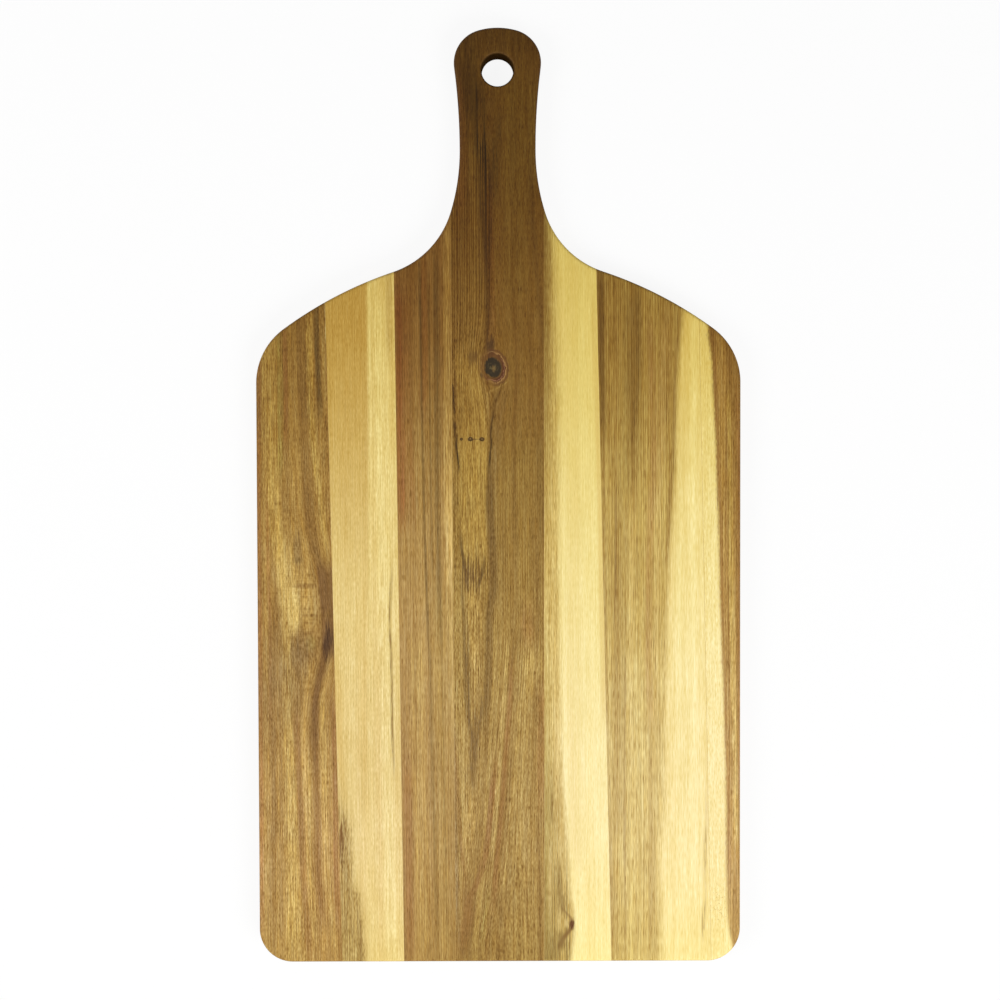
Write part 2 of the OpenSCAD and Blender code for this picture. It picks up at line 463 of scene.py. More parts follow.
GOLD, TAN, TAN_PALE = (202, 168, 88), (194, 162, 94), (218, 188, 114)
BROWN, RED, DARK, BLACK = (148, 112, 56), (162, 112, 60), (112, 86, 44), (62, 46, 24)
OLIVE, GREY = (172, 148, 76), (148, 120, 74)
PALE, HONEY, HONEY_DARK = (248, 230, 164), (226, 196, 118), (192, 162, 98)
# the blue that the woods keep along the board, less towards the handle: the colour side of the painted shade
PAINTED_SHADE_BLUE = {150: 0.88, 60: 0.9, 0: 0.95, -60: 1.01, -120: 1.09, -190: 1.13, -230: 1.1, -280: 0.97}


# %% A canvas in millimetres
SEED_STEP = 7.3
REACH = 160  # courses are drawn between -REACH and REACH


class Canvas(Tree):
    """A material with coordinates in millimetres, noise stretched along the stave, and a colour to paint over."""

    def __init__(self, name, seed, lean):
        self.material = bpy.data.materials.new(name)
        self.material.use_nodes = True
        super().__init__(self.material.node_tree)
        self.tree.nodes.clear()
        self.seed, self.colour = seed, None
        place = self.axes(self.node("ShaderNodeTexCoord", (), "Object"))
        self.x, self.y, self.z = (axis * (1 / MM) for axis in place)
        self.flow = self.x + (THICKNESS - self.z) * lean
        self.line = self.flow = self.flow + (self.noise(24, 110, 40, 1) - 0.5) * 0.7
        self.far = (self.y - BASE_Y) / (TIP_Y - BASE_Y)

    def noise(self, wide, long, deep, detail=0.0):
        """Noise that is stretched along the stave. Each call looks at a place of its own."""
        self.seed += SEED_STEP
        spot = (self.flow / wide + self.seed, self.y / long + self.seed, self.z / deep)
        spot = self.node("ShaderNodeCombineXYZ", spot)
        return self.node("ShaderNodeTexNoise", {"Vector": spot, "Scale": 1.0, "Detail": detail})

    def rise(self, value, low, high):
        """0 below low, 1 above high, and smooth between them."""
        return self.node("ShaderNodeMapRange", (value, low, high, 0.0, 1.0), interpolation_type="SMOOTHSTEP")

    def along(self, points, low=0, high=1):
        """A value that changes along the stave, drawn through a few points, each given as y: value."""
        length = TIP_Y - BASE_Y
        curve = [((y - BASE_Y) / length, (v - low) / (high - low)) for y, v in dict(points).items()]
        return self.node("ShaderNodeFloatCurve", (1.0, self.far), curve=curve) * (high - low) + low

    def course(self, points):
        """A line down the stave, drawn through points given as y: x."""
        return self.along(points, -REACH, REACH)

    def mix(self, factor, first, second):
        """Two colours mixed. Each is a term, or its red, green and blue in the usual 0 to 255."""
        first, second = (paint(*c) if isinstance(c, tuple) else c for c in (first, second))
        return self.node("ShaderNodeMix", {0: factor, 6: first, 7: second}, 2, data_type="RGBA")

    def tint(self, colour, tone):
        return self.node("ShaderNodeVectorMath", (colour, tone), operation="MULTIPLY")

    def layer(self, colour, mask):
        self.colour = self.mix(mask, self.colour, colour)


print(f"a canvas runs from {BASE_Y:.0f} to {TIP_Y:.0f} mm")

# %% [markdown]
# ## Masks: where a colour goes
#
# A mask is a number from 0 to 1 at every point of the wood. A strand of colour is one that stays within half a width
# of a drawn course. An image could hold such masks, but it would have a fixed sharpness, while these are worked out
# from the coordinates and stay sharp at any distance. Grain makes their edges ragged, as in sawn wood.


# %% Strands, edges and spots
class Masks(Canvas):
    """Masks that follow drawn courses. The ragged edge comes from the grain, which the next step makes."""

    def follow(self, points, start, left, right):
        """Bends the fibres on both sides of a drawn course, so that they run along it."""
        course = self.course(points)
        away = self.line - course
        left, right = away.math("MINIMUM", 0.0) / left, away.math("MAXIMUM", 0.0) / right
        self.flow = self.line + (start - course) * ((left * left + right * right) * -1).math("EXPONENT")

    def span(self, start, end, fade):
        """A mask that is 1 between two places along the stave."""
        return self.rise(self.y, start - fade, start + fade) * self.rise(self.y, end + fade, end - fade)

    def strand(self, points, half, soft, fade=14):
        """A mask that is 1 within half a width of a drawn course, and fades out past its ends."""
        away = abs(self.line + self.ragged - self.course(points))
        ends = dict(points)
        return self.rise(away, half + soft / 2, max(0, half - soft / 2)) * self.span(min(ends), max(ends), fade)

    def right_of(self, points, soft):
        """A mask that is 0 to the left of a drawn course and 1 to the right of it."""
        return self.rise(self.line + self.ragged - self.course(points), -soft, soft)

    def spot(self, x, y, wide, long):
        """The distance from a spot, where 1 is an ellipse of the given half width and half length."""
        across, along = (self.line - x) / wide, (self.y - y) / long
        return (across * across + along * along).math("SQRT")


print("masks:", ", ".join(name for name in vars(Masks) if not name.startswith("_")))

# %% [markdown]
# ## Painting, grain and finish
#
# The grain is noise at several widths, from broad bands down to single fibres, and all layers share it, so that they
# look like parts of one plank. The finish is a Principled BSDF: an oiled face with a low sheen, a slight bump where
# the pores stay open, and darker end grain.

# %% A wood that is painted layer by layer
LINE_PITCH = 1.5  # millimetres from one fine line to the next
PORE_DEPTH = 0.12  # millimetres
END_GRAIN = (0.7, 0.64, 0.56)  # what end grain leaves of red, green and blue


class Wood(Masks):
    """A stave's material, from the first tones to the finish."""

    def base(self, first, second, contrast=1.6, length=1.0):
        """Two tones in broad bands along the stave, and the grain at several widths that the layers share."""
        self.mottle = self.noise(14, 50, 20, 2) - 0.5
        self.bands = (self.noise(4.5, 420, 12, 1) - 0.5) * contrast
        self.stripes = self.noise(1.3, 90, 3, 2) - 0.5
        self.threads = self.noise(0.46, 11 * length, 0.6) - 0.5
        self.fibre = self.noise(0.38, 2.8 * length, 0.4) - 0.5
        self.pores = self.rise(self.noise(0.42, 6 * length, 0.4), 0.62, 0.71)
        self.tinge = (self.noise(3.2, 60, 5, 1) - 0.5) * 0.22 + (self.noise(0.7, 14, 0.7) - 0.5) * 0.35
        self.lines = self.noise(0.6, 130, 1.0, 1) - 0.5
        self.ragged = self.stripes * 0.6 + self.threads * 0.6 + self.fibre * 0.3
        self.ground(first, second)

    def ground(self, first, second):
        """Starts the colour, or starts it again, from two tones in broad bands."""
        self.colour = self.mix(self.bands + 0.5, first, second)

    def comb(self, strength, uneven=0.0):
        """Adds close, even lines to the stripes, as where growth rings run up through the face, and uneven ones."""
        turns = self.flow * (math.tau / LINE_PITCH) + self.stripes * 9 + self.bands * 6
        even = turns.math("SINE") * (0.95 + self.lines * 1.6) * strength
        self.stripes = self.stripes + even + self.lines * uneven

    def wash(self, colour, points, *across):
        """Paints a wash that changes along the stave, and that may also grow from one place to another across it."""
        mask = self.along(points)
        self.layer(colour, self.rise(self.line, *across) * mask if across else mask)

    def stroke(self, colour, strength, half, soft, points, fade=14):
        """Paints one strand."""
        self.layer(colour, self.strand(points, half, soft, fade) * strength)

    def strands(self, rows):
        """Paints a table of named strands, which stripes and threads break up."""
        broken = 0.95 + self.stripes * 1.4 + self.threads * 1.2
        for _, colour, strength, half, soft, points in rows:
            self.stroke(colour, broken * strength, half, soft, points)
        print("strands:", ", ".join(row[0] for row in rows))

    def blot(self, colour, strength, oval, rough=0.0, edge=(1.2, 0.2)):
        """Paints a soft oval: its middle, half width and half length. Grain may make its edge rough."""
        self.layer(colour, self.rise(self.spot(*oval) + rough, *edge) * strength)

    def grain(self, mottle, stripes, fibre, pores, painted_light_and_tone, green=1.3, blue=1.9, tinge=1.7):
        """Darkens and lightens: a slow change along the stave, which is painted shade falling towards the handle on
        top of the wood's own tone, then mottle, stripes, fibres and pores.

        Wood that is darker holds more colour, so green falls faster than red, and blue the fastest. The tinge
        makes single fibres more orange or more olive."""
        change = self.mottle * mottle + self.stripes * stripes + (self.threads + self.fibre * 1.15) * fibre
        tone = self.along(painted_light_and_tone, 0, 2) * (1 + change) * (1 - self.pores * pores)
        hue = self.tinge * tinge
        # painted shade in blue, stronger towards the handle
        painted_shade_blue = self.along(PAINTED_SHADE_BLUE, 0, 2)
        channels = (tone, tone**green * (1 + hue * 0.25), tone**blue * (1 + hue) * painted_shade_blue)
        self.colour = self.tint(self.colour, self.node("ShaderNodeCombineXYZ", channels))

    def finish(self, raw=None):
        """End grain is darker. The oiled surface has a low sheen, its pores stay open, and raw wood has no sheen."""
        _, lengthwise, upward = self.axes(self.node("ShaderNodeNewGeometry", (), "Normal"))
        end = self.rise(abs(lengthwise), 0.5, 0.95)
        colour = self.mix(end, self.colour, self.tint(self.colour, END_GRAIN))
        height = self.fibre * 0.5 + self.threads * 0.5 + self.stripes * 0.4 - self.pores
        bump = {"Strength": 0.35, "Distance": PORE_DEPTH * MM, "Height": height}
        bump = self.node("ShaderNodeBump", bump)
        rough = 0.52 + self.threads * 0.25 + self.pores * 0.1 + (1 - abs(upward)) * 0.4
        surface = {"Base Color": colour, "Roughness": rough, "Normal": bump, "Specular IOR Level": 0.16}
        surface = self.node("ShaderNodeBsdfPrincipled", surface)
        if raw is not None:
            dull = self.node("ShaderNodeBsdfDiffuse", (colour,))
            surface = self.node("ShaderNodeMixShader", (raw, surface, dull))
        self.node("ShaderNodeOutputMaterial", (surface,))
        print(f"{self.material.name}: {len(self.tree.nodes)} nodes")
        return self.material


woods = {}

# %% [markdown]
# ## The outer left stave
#
# Brown heartwood with golden, red and olive strands. Half way down, the strands bow round a hidden branch: there is
# a dark patch at the glue line, a pale glow beside it and a few short ripples across the grain.

# %% Strands of the golden heartwood
GOLDEN_STRANDS = [
    ("red rim", RED, 0.55, 1.3, 1.8, {92: -143.1, -1: -143.8, -73: -143.4, -261: -143.4}),
    ("golden band", GOLD, 0.55, 3.6, 4.2, {95: -137.4, 59: -136.5, 17: -135.6, -13: -134, -37: -130.5, -55: -128.2,
        -85: -127.2, -135: -126.4, -182: -125.4, -273: -124}),
    ("olive strand", OLIVE, 0.6, 1.8, 1.8, {101: -131.4, 59: -130.5, 17: -130.8}),
    ("red strand", RED, 0.55, 1.3, 1.5, {104: -127.8, 59: -126.9, 35: -127.6}),
    ("brown band", BROWN, 0.6, 3.0, 3.0, {110: -117, 59: -116.1, 17: -114, -7: -113.5, -22: -111.2, -34: -108.9,
        -46: -106.5, -61: -104.2, -76: -103.1}),
    ("golden strand beside it", GOLD, 0.5, 1.9, 2.4, {109: -112.8, 71: -112.4, 47: -111.4, 20: -109.2, -4: -106.3,
        -28: -104}),
    ("dark shoulder", DARK, 0.75, 1.6, 1.8, {115: -108.6, 92: -108.1, 71: -107.4, 52: -106.6}),
    ("dark tail", (126, 88, 46), 0.55, 1.7, 2.6, {-88: -103.8, -102: -106.3, -114: -108.7, -127: -110.4,
        -146: -110.3, -171: -109.7, -195: -109.1, -219: -109.1, -255: -106.7}),
    ("golden strand below", GOLD, 0.4, 1.6, 1.8, {-116: -106.3, -147: -105.5, -195: -104.9, -219: -104.3,
        -255: -101.3, -273: -99.5}),
    ("red strand at the glue", (140, 95, 50), 0.65, 1.5, 1.8, {-120: -100.4, -141: -99.5, -183: -98.9, -231: -98.3,
        -255: -97.1}),
    ("brown strand below", (140, 98, 50), 0.6, 1.9, 2.0, {-125: -122.8, -135: -122.3, -159: -121.1, -195: -119.3,
        -219: -118.7, -255: -116.3, -279: -114.5}),
    ("low golden strand", GOLD, 0.35, 1.4, 1.8, {-160: -114.8, -195: -113.9, -219: -114.5, -243: -112.5,
        -273: -110.5}),
    ("brown near the rim", BROWN, 0.5, 1.4, 1.8, {-141: -136.9, -183: -135.6, -219: -136.3, -243: -137.6}),
    ("red near the rim", RED, 0.4, 0.9, 1.2, {-1: -138.7, -37: -138.3, -85: -137.4, -134: -137.8}),
]
BEND = {110: -117, 59: -116.1, 17: -114, -7: -113.5, -22: -111.2, -34: -108.9, -46: -106.5, -61: -104.8, -76: -104,
    -90: -104.2, -102: -106, -114: -108.5, -127: -110.5, -150: -111.5, -200: -111.1, -280: -109}
BOW = {22: -116.5, 10: -115.5, -9: -113, -24: -111, -36: -108.5, -48: -107}
BOW_EDGE = {-30: -110.5, -39: -109.6, -52: -108, -63: -107, -72: -106.3, -80: -106, -95: -106.5, -104: -108}
BOW_TAIL = {-88: -103.5, -98: -105, -107: -107.5, -114: -109.5, -127: -111, -150: -111.5}
BARS = [
    (-116, -52.5, 8, 1.7, 0.75),
    (-115, -59, 4, 0.8, 0.35),
    (-115.5, -66.3, 4, 0.8, 0.4),
    (-113.5, -70, 5, 0.9, 0.45),
    (-114, -74.7, 4.5, 0.8, 0.45),
    (-113, -80.5, 5, 1.0, 0.5),
]
print(len(GOLDEN_STRANDS), "strands")

# %% Paint the golden heartwood
wood = Wood("golden_heartwood", 3, 0.4)
wood.follow(BEND, -112, 10, 10)
wood.base((148, 112, 56), (187, 150, 79), 1.8, 0.8)
wood.strands(GOLDEN_STRANDS)
wood.blot(TAN_PALE, 0.5, (-127, -50, 9, 34))
wood.blot((226, 196, 116), 0.75, (-123, -68, 4.5, 17), edge=(1.15, 0.3))
wood.blot(BROWN, 0.6, (-133.5, -70, 3.5, 26))
wood.blot(BROWN, 0.7, (-116, -88, 9, 12), edge=(1.2, 0.5))
wood.blot(OLIVE, 0.4, (-113, -87, 4, 6), edge=(1.2, 0.3))
wood.blot(GREY, 0.55, (-120.5, -30, 4, 13), wood.threads)
wood.blot(DARK, 0.5, (-120.3, -37, 4, 2.6), wood.threads * 0.6)
wood.blot(TAN, 0.4, (-113.5, -66, 5.5, 13), edge=(1.2, 0.3))
for *oval, strength in BARS:
    wood.blot(BROWN, strength, oval, wood.threads * 0.5, (1.3, 0.5))
wood.stroke(BROWN, 0.85, 2.2, 2.4, BOW)
wood.layer((120, 85, 45), wood.right_of(BOW_EDGE, 0.5) * wood.span(-96, -40, 6) * 0.8)
wood.blot(BROWN, 0.5, (-102.5, -70, 3, 4))
wood.stroke((120, 86, 44), 0.5, 2.2, 4.0, BOW_TAIL)
wood.blot(GREY, 0.45, (-131, -108, 14, 36), wood.mottle * 1.5)
wood.blot((80, 55, 33), 0.85, (-102.6, -85, 4.4, 12), wood.threads * 1.6 + wood.mottle * 1.2, (1.3, 0.2))
wood.stroke(PALE, 0.7, 0.35, 0.5, {125: -103.2, 95: -102.9}, 6)
wood.blot(GREY, 0.55, (-119, -93, 9, 15), wood.threads)
wood.wash((150, 106, 52), {-170: 0, -220: 0.28, -280: 0.28}, -119, -108)
wood.stroke(TAN, 0.5, 1.0, 1.6, {105: -104.6, 80: -104, 55: -103.4}, 10)
ripple = wood.noise(4.0, 0.8, 2.0, 1) - 0.5
figured = wood.rise(wood.spot(-122, -40, 26, 100), 1.1, 0.3)
wood.threads = wood.threads + ripple * figured * 0.4
wood.comb(wood.along({110: 0.35, 20: 0.3, -40: 0.1, -110: 0.15, -160: 0.4, -280: 0.5}))
# painted shade along the stave, darker towards the handle, over the wood's own tone
painted_light_and_tone = {110: 0.62, 60: 0.73, 0: 0.9, -60: 0.92, -120: 0.91, -165: 1.08, -205: 1.13, -280: 1.08}
wood.grain(0.5, 0.24, 0.72, 0.24, painted_light_and_tone)
woods["outer_left_stave"] = wood.finish()

# %% [markdown]
# ## The left sapwood stave
#
# Cream sapwood, more honey-coloured on the left near the shoulder. A fine dark line runs beside its right edge, and
# at the base a wedge of brown heartwood comes in from the left. The two woods are painted one after the other, each
# with a grain of its own, and then mixed by a mask.

# %% Strands of the cream sapwood
CREAM_STRANDS = [
    ("bright band", PALE, 0.6, 3.0, 3.6, {118: -70.9, 47: -70.6, -13: -70.3, -86: -68.9, -158: -68, -219: -66.5,
        -273: -64.9}),
    ("honey at the right", HONEY, 0.5, 1.5, 1.8, {115: -63.7, 59: -63.7, 23: -63.6}),
    ("honey in the middle", HONEY, 0.35, 2.4, 3.0, {-61: -82, -122: -81.7, -182: -80.2, -243: -76.9}),
    ("honey at the left", HONEY, 0.6, 1.9, 2.6, {-85: -97.7, -122: -96.7, -164: -94.6, -184: -93.4}),
]
DARK_LINE = {-45: -64.2, -51: -64.6, -62: -65.2, -75: -65.6, -88: -65.0, -99: -64.6, -120: -64.4, -147: -64,
    -160: -63.6}
HONEY_EDGE = {118: -78.4, 94: -78.2, 59: -77.8, 17: -77.7, -25: -77.6, -73: -77.8}
WEDGE_EDGE = {-158: -98.1, -175: -95.2, -188: -92.3, -204: -90, -220: -89.1, -231: -88.3, -243: -85.3, -256: -83.8,
    -270: -82.3, -281: -81.5}
print(len(CREAM_STRANDS), "strands")

# %% Paint the cream sapwood
wood = Wood("cream_sapwood", 11, 0.3)
wood.base((230, 202, 132), (244, 224, 156))
honey = (1 - wood.right_of(HONEY_EDGE, 1.2)) * wood.along({100: 1, 60: 0.8, 0: 0.5, -60: 0.1, -90: 0})
wood.layer((208, 172, 96), honey)
wood.layer((176, 138, 66), honey * wood.rise(wood.mottle + wood.stripes * 0.8 + wood.threads * 0.5, 0.02, 0.5) * 0.7)
wood.stroke((176, 138, 72), 0.45, 1.8, 2.4, {138: -65.2, 110: -65, 84: -64.6})
wood.strands(CREAM_STRANDS)
wood.stroke((156, 126, 68), 0.72 + wood.threads * 2.0 + wood.fibre, 0.75, 1.1, DARK_LINE)
# painted shade along the stave, darker towards the handle, over the wood's own tone
painted_light_and_tone = {120: 0.78, 60: 0.84, 0: 0.89, -60: 0.89, -120: 0.87, -170: 0.85, -200: 0.905, -280: 0.88}
wood.comb(0.3)
wood.grain(0.15, 0.13, 0.28, 0.03, painted_light_and_tone, 1.4, 2.7, 0.5)
pale = wood.colour
wood.ground((154, 124, 67), (188, 159, 92))
wood.blot((118, 76, 34), 0.8, (-96, -205, 3.2, 13), wood.threads * 2.0 + wood.fibre * 1.2, (1.3, 0.2))
wood.grain(0.3, 0.5, 0.8, 0.2, {-160: 1.0, -280: 1.0})
halo = wood.rise(wood.line - wood.course(WEDGE_EDGE) + wood.mottle * 6, 10, -2) * wood.rise(wood.y, -160, -200)
pale = wood.mix(halo * 0.6, pale, (196, 165, 92))
wedge = wood.rise(wood.line + wood.ragged * 3 + wood.fibre * 3 - wood.course(WEDGE_EDGE), 3.2, -2.0)
wedge = wedge * (wood.rise(wood.y + wood.threads * 24, -180, -204) * 0.8 + wood.rise(wood.y, -140, -200) * 0.2)
wood.colour = wood.mix(wedge, pale, wood.colour)
woods["left_sapwood_stave"] = wood.finish()

# %% [markdown]
# ## The inner left stave
#
# Reddish heartwood in even stripes: a red band at its left, two dark lines, and a pale band along its right edge
# that narrows and dies out below the middle of the board.

# %% Strands of the reddish heartwood
REDDISH_STRANDS = [
    ("broad red band", (154, 101, 52), 0.5, 4.4, 7.0, {124: -58, 94: -57.5, 47: -57, 11: -57, -13: -57}),
    ("red band", (150, 90, 48), 0.5, 2.0, 3.4, {124: -59.4, 94: -58.9, 47: -58.9, 11: -58.4, -13: -57.9}),
    ("red strand", (164, 108, 54), 0.45, 2.0, 3.2, {141: -44.8, 118: -44.4, 88: -44.4, 50: -45.5}),
    ("low red strand", RED, 0.4, 1.2, 1.8, {47: -52.1, 11: -51.6, -13: -50.5}),
    ("dark line", DARK, 0.6, 0.8, 1.1, {141: -46.6, 100: -46.2, 59: -45.9, 17: -45.2, -25: -44.2, -62: -43,
        -96: -41.8}),
    ("thin dark line", DARK, 0.5, 0.6, 0.9, {130: -41.6, 76: -41, 41: -40.7, -10: -40.2, -50: -39.4}),
    ("dark band", DARK, 0.65, 1.6, 2.4, {144: -37, 112: -36.9, 76: -36.9, 41: -36.9, 11: -36.8, -19: -36.4,
        -50: -35.8, -84: -35.4}),
    ("golden band", GOLD, 0.35, 4.2, 4.0, {-86: -49, -122: -48.6, -158: -48.1, -195: -47.1, -277: -45.6}),
    ("dark line below", DARK, 0.5, 1.0, 1.2, {-92: -41.2, -122: -40.8, -158: -40.3, -195: -39.2, -261: -37.7}),
    ("low left line", BROWN, 0.5, 0.5, 0.9, {-70: -51, -100: -50.6, -125: -50.3, -170: -49.8}),
    ("low thin line", DARK, 0.6, 0.5, 0.9, {-60: -35, -100: -34.2, -150: -33.6, -190: -33, -268: -31.4}),
    ("golden strand", GOLD, 0.22, 2.2, 2.4, {-98: -36.4, -134: -36, -170: -34.9, -207: -34.5, -274: -32.9}),
    ("red strand below", RED, 0.45, 2.1, 2.4, {-158: -55.4, -194: -54.9, -243: -54.5, -274: -54.1}),
    ("pale band", (208, 174, 104), 0.75, 2.3, 3.2, {163: -30.3, 118: -30.4, 58: -30.2, 23: -29.8, -19: -29.6,
        -56: -29.4}),
    ("end of the pale band", (206, 173, 103), 0.65, 1.5, 2.4, {-62: -29.3, -88: -28.8}),
    ("pale thread", (210, 178, 108), 0.55, 0.9, 1.6, {-86: -28.3, -116: -27.9, -142: -27.6}),
]
print(len(REDDISH_STRANDS), "strands")

# %% Paint the reddish heartwood
wood = Wood("reddish_heartwood", 23, -0.35)
wood.base((157, 121, 65), (186, 151, 87), 1.3, 1.2)
wood.wash((150, 98, 46), {150: 0.35, 90: 0.25, 40: 0})
wood.strands(REDDISH_STRANDS)
wood.wash((176, 144, 76), {-40: 0, -110: 0.45, -280: 0.4}, -45, -37)
wood.stroke((224, 190, 120), 0.6, 0.35, 0.5, {150: -62.6, 100: -62.2}, 8)
# painted shade along the stave, darker towards the handle, over the wood's own tone
painted_light_and_tone = {150: 0.49, 100: 0.56, 50: 0.77, 0: 0.94, -40: 1.03, -90: 1.05, -130: 1.0, -180: 0.97, -280: 0.85}
uneven = wood.along({150: 1.2, 0: 0.9, -80: 1.3, -280: 1.2}, 0, 2)
wood.comb(wood.along({150: 0.3, 0: 0.3, -100: 0.2, -280: 0.15}), uneven)
wood.grain(0.2, 0.32, 0.5, 0.26, painted_light_and_tone, tinge=1.3)
woods["inner_left_stave"] = wood.finish()

# %% [markdown]
# ## The handle stave
#
# The darkest wood, nearly chocolate in the handle and lighter towards the base, with painted shade that deepens
# towards the handle on top of it. A dark line runs down into the large knot, and below it lies a golden field between
# two cracks, with the three pin knots in a row. Farther down, dark flames and leaning golden lines show where the
# growth rings meet the face at a low angle. The fibres part to pass round the knot, so the coordinate across the
# stave is stretched there before anything is painted.

# %% Strands of the dark heartwood
GOLDEN_LINE = [(-86, 5.1), (-104, 3.8), (-134, 1.7), (-167, -0.6), (-195, -3), (-210, -4.6), (-237, -7.4),
    (-268, -11.1)]
DARK_STRANDS = [
    ("lighter right half", OLIVE, 0.28, 8.0, 9.0, {250: 13, 215: 12, 180: 11, 150: 12, 120: 12}),
    ("dark lines in the handle", BLACK, 0.3, 0.9, 1.8, {231: -13.3, 201: -12.2, 178: -10.5, 165: -9.8}),
    ("dark line to the knot", (70, 46, 25), 0.5, 1.5, 2.4, {160: -7.6, 140: -7, 124: -6.6, 100: -5.8, 91: -4.9}),
    ("crisp line in it", BLACK, 0.4, 0.5, 0.8, {164: -7.6, 140: -7, 117: -6.4, 103: -6, 92: -4.7}),
    ("dark line beside it", BLACK, 0.22, 0.6, 0.8, {240: -15.5, 207: -14.4, 178: -12.7, 148: -11, 118: -9.9}),
    ("red band beside it", RED, 0.4, 1.8, 1.8, {190: -4.9, 154: -4.4, 118: -3.6, 91: -3.4}),
    ("red band at the left", RED, 0.45, 2.4, 3.0, {252: -22.6, 225: -21.5, 196: -21, 169: -22.3}),
    ("olive at the right", OLIVE, 0.4, 2.4, 3.0, {243: 22.7, 213: 21.4, 184: 21.9}),
    ("dark at the right", DARK, 0.4, 1.4, 2.2, {195: 19.6, 160: 21.3, 124: 24.2, 100: 26.5}),
    ("dark edge at the glue", DARK, 0.2, 1.8, 2.4, {118: 26.6, 58: 25.8, 28: 25.2, -26: 25.7}),
    ("golden field", GOLD, 0.62, 8.5, 4.0, {85: -17, 60: -15, 35: -15.3, 11: -15.5, -13: -16, -38: -15.5}),
    ("grey beside the field", GREY, 0.4, 2.4, 4.0, {61: 0.7, 46: -0.5, 28: -1.8, 10: -3.6, -14: -4.3, -38: -3.2,
        -62: -2.7}),
    ("dark below the field", (116, 88, 44), 0.6, 2.2, 2.6, {16: -4.8, -2: -5.5, -20: -4.3, -50: -3.2, -68: -5.7,
        -86: -6.3, -110: -6.4, -134: -8.9}),
    ("bright under the knot", TAN_PALE, 0.45, 0.6, 0.8, {70: 3.1, 67: -0.5, 63: -4.4, 58: -5.3, 49: -5.9}),
    ("dark flame", DARK, 0.85, 1.0, 1.4, {-20: -22.9, -30: -22.3, -38: -20.9, -47: -19.4, -53: -18.6}),
    ("second flame", DARK, 0.75, 0.9, 1.2, {-42: -8.6, -48: -11, -53: -13.4, -58: -14.7}),
    ("short flame", DARK, 0.65, 0.7, 1.0, {-40: -13.5, -48: -12.6, -56: -11.8}),
    ("dark strand", DARK, 0.65, 0.9, 1.2, {-54: -22.2, -74: -21.2, -92: -20.8, -110: -20.4, -131: -19.8}),
    ("dark strand beside it", DARK, 0.55, 0.6, 0.9, {-70: -18.9, -100: -18.3, -125: -18, -142: -17}),
    ("golden strand", (190, 155, 82), 0.7, 4.2, 2.6, {-50: -14.9, -66: -14.6, -82: -14.2}),
    ("point of the golden strand", (190, 155, 82), 0.6, 2.2, 2.2, {-84: -14, -101: -13.6, -112: -13.2}),
    ("red beside the line", (146, 102, 50), 0.5, 1.4, 2.0, {-98: 7.5, -116: 6.8, -134: 5.6, -158: 3.7, -183: 1.8,
        -201: 0, -219: -1.9, -243: -3.2}),
    ("red before the line", (140, 97, 48), 0.65, 1.9, 2.0, {-161: -2.3, -182: -4.8, -201: -7, -219: -9.8,
        -231: -13.4, -243: -18.9}),
    ("golden line", (190, 159, 88), 0.75, 1.0, 1.5, GOLDEN_LINE[:6]),
    ("end of the golden line", OLIVE, 0.4, 1.4, 2.2, GOLDEN_LINE[6:]),
    ("third flame", (110, 82, 42), 0.45, 2.0, 3.0, {-138: -15.2, -152: -15, -163: -15.6, -172: -15.9}),
    ("light inside the point", (190, 156, 84), 0.5, 4.4, 5.0, {-180: -16.5, -200: -17.5, -218: -19.2}),
    ("left arm of the point", (144, 104, 52), 0.5, 1.2, 1.8, {-150: -26, -180: -25, -205: -23.6, -228: -21}),
    ("outer line", GOLD, 0.35, 1.0, 1.8, {-120: 13, -160: 9.5, -200: 6, -240: 2}),
    ("dark base", (140, 100, 48), 0.72, 3.8, 5.0, {-236: -20.4, -248: -19, -262: -21.5, -276: -24}),
    ("red patch", RED, 0.45, 3.6, 4.2, {-68: 16.6, -86: 17.1}),
    ("red edge", RED, 0.25, 2.4, 2.4, {-112: 24.9, -134: 25.4, -158: 24.8, -183: 25.3}),
    ("golden patch", GOLD, 0.42, 6.2, 5.6, {-92: 20.1, -110: 19.5}),
    ("grey at the glue", GREY, 0.5, 1.2, 1.2, {-134: -27.6, -170: -27.1, -207: -26.3, -268: -25}),
]
DARK_STREAKS = [
    (3.2, 5.0, {246: -11, 215: -10, 190: -6.4, 165: -6.2, 150: -5.6}),
    (1.2, 2.8, {165: -5.8, 130: -5.2, 100: -4.8, 91: -4.4}),
    (2.0, 4.0, {225: 0, 205: -1, 180: -1.5}),
]
FLAME_STROKES = [
    {-92: -19.6, -112: -19, -130: -18, -146: -17},
    {-108: -8.6, -124: -10.2, -140: -12.2, -150: -13.6},
    {-138: -16.4, -150: -15.4, -158: -14.6},
    {-128: -13.4, -142: -14.8, -156: -15.8},
    {-150: -17.6, -162: -16.4, -172: -15.8},
    {-30: -23, -42: -20.8, -54: -18.8},
    {-36: -8.4, -46: -10.4, -56: -13.4},
]
FIELD_EDGE = {66: -0.5, 60: -2, 51: -2.9, 43: -4.1, 37: -4.5, 33: -4.2, 27: -4.8, 22: -5.4, 15: -6}
print(len(DARK_STRANDS), "strands,", len(FLAME_STROKES), "strokes in the flames")

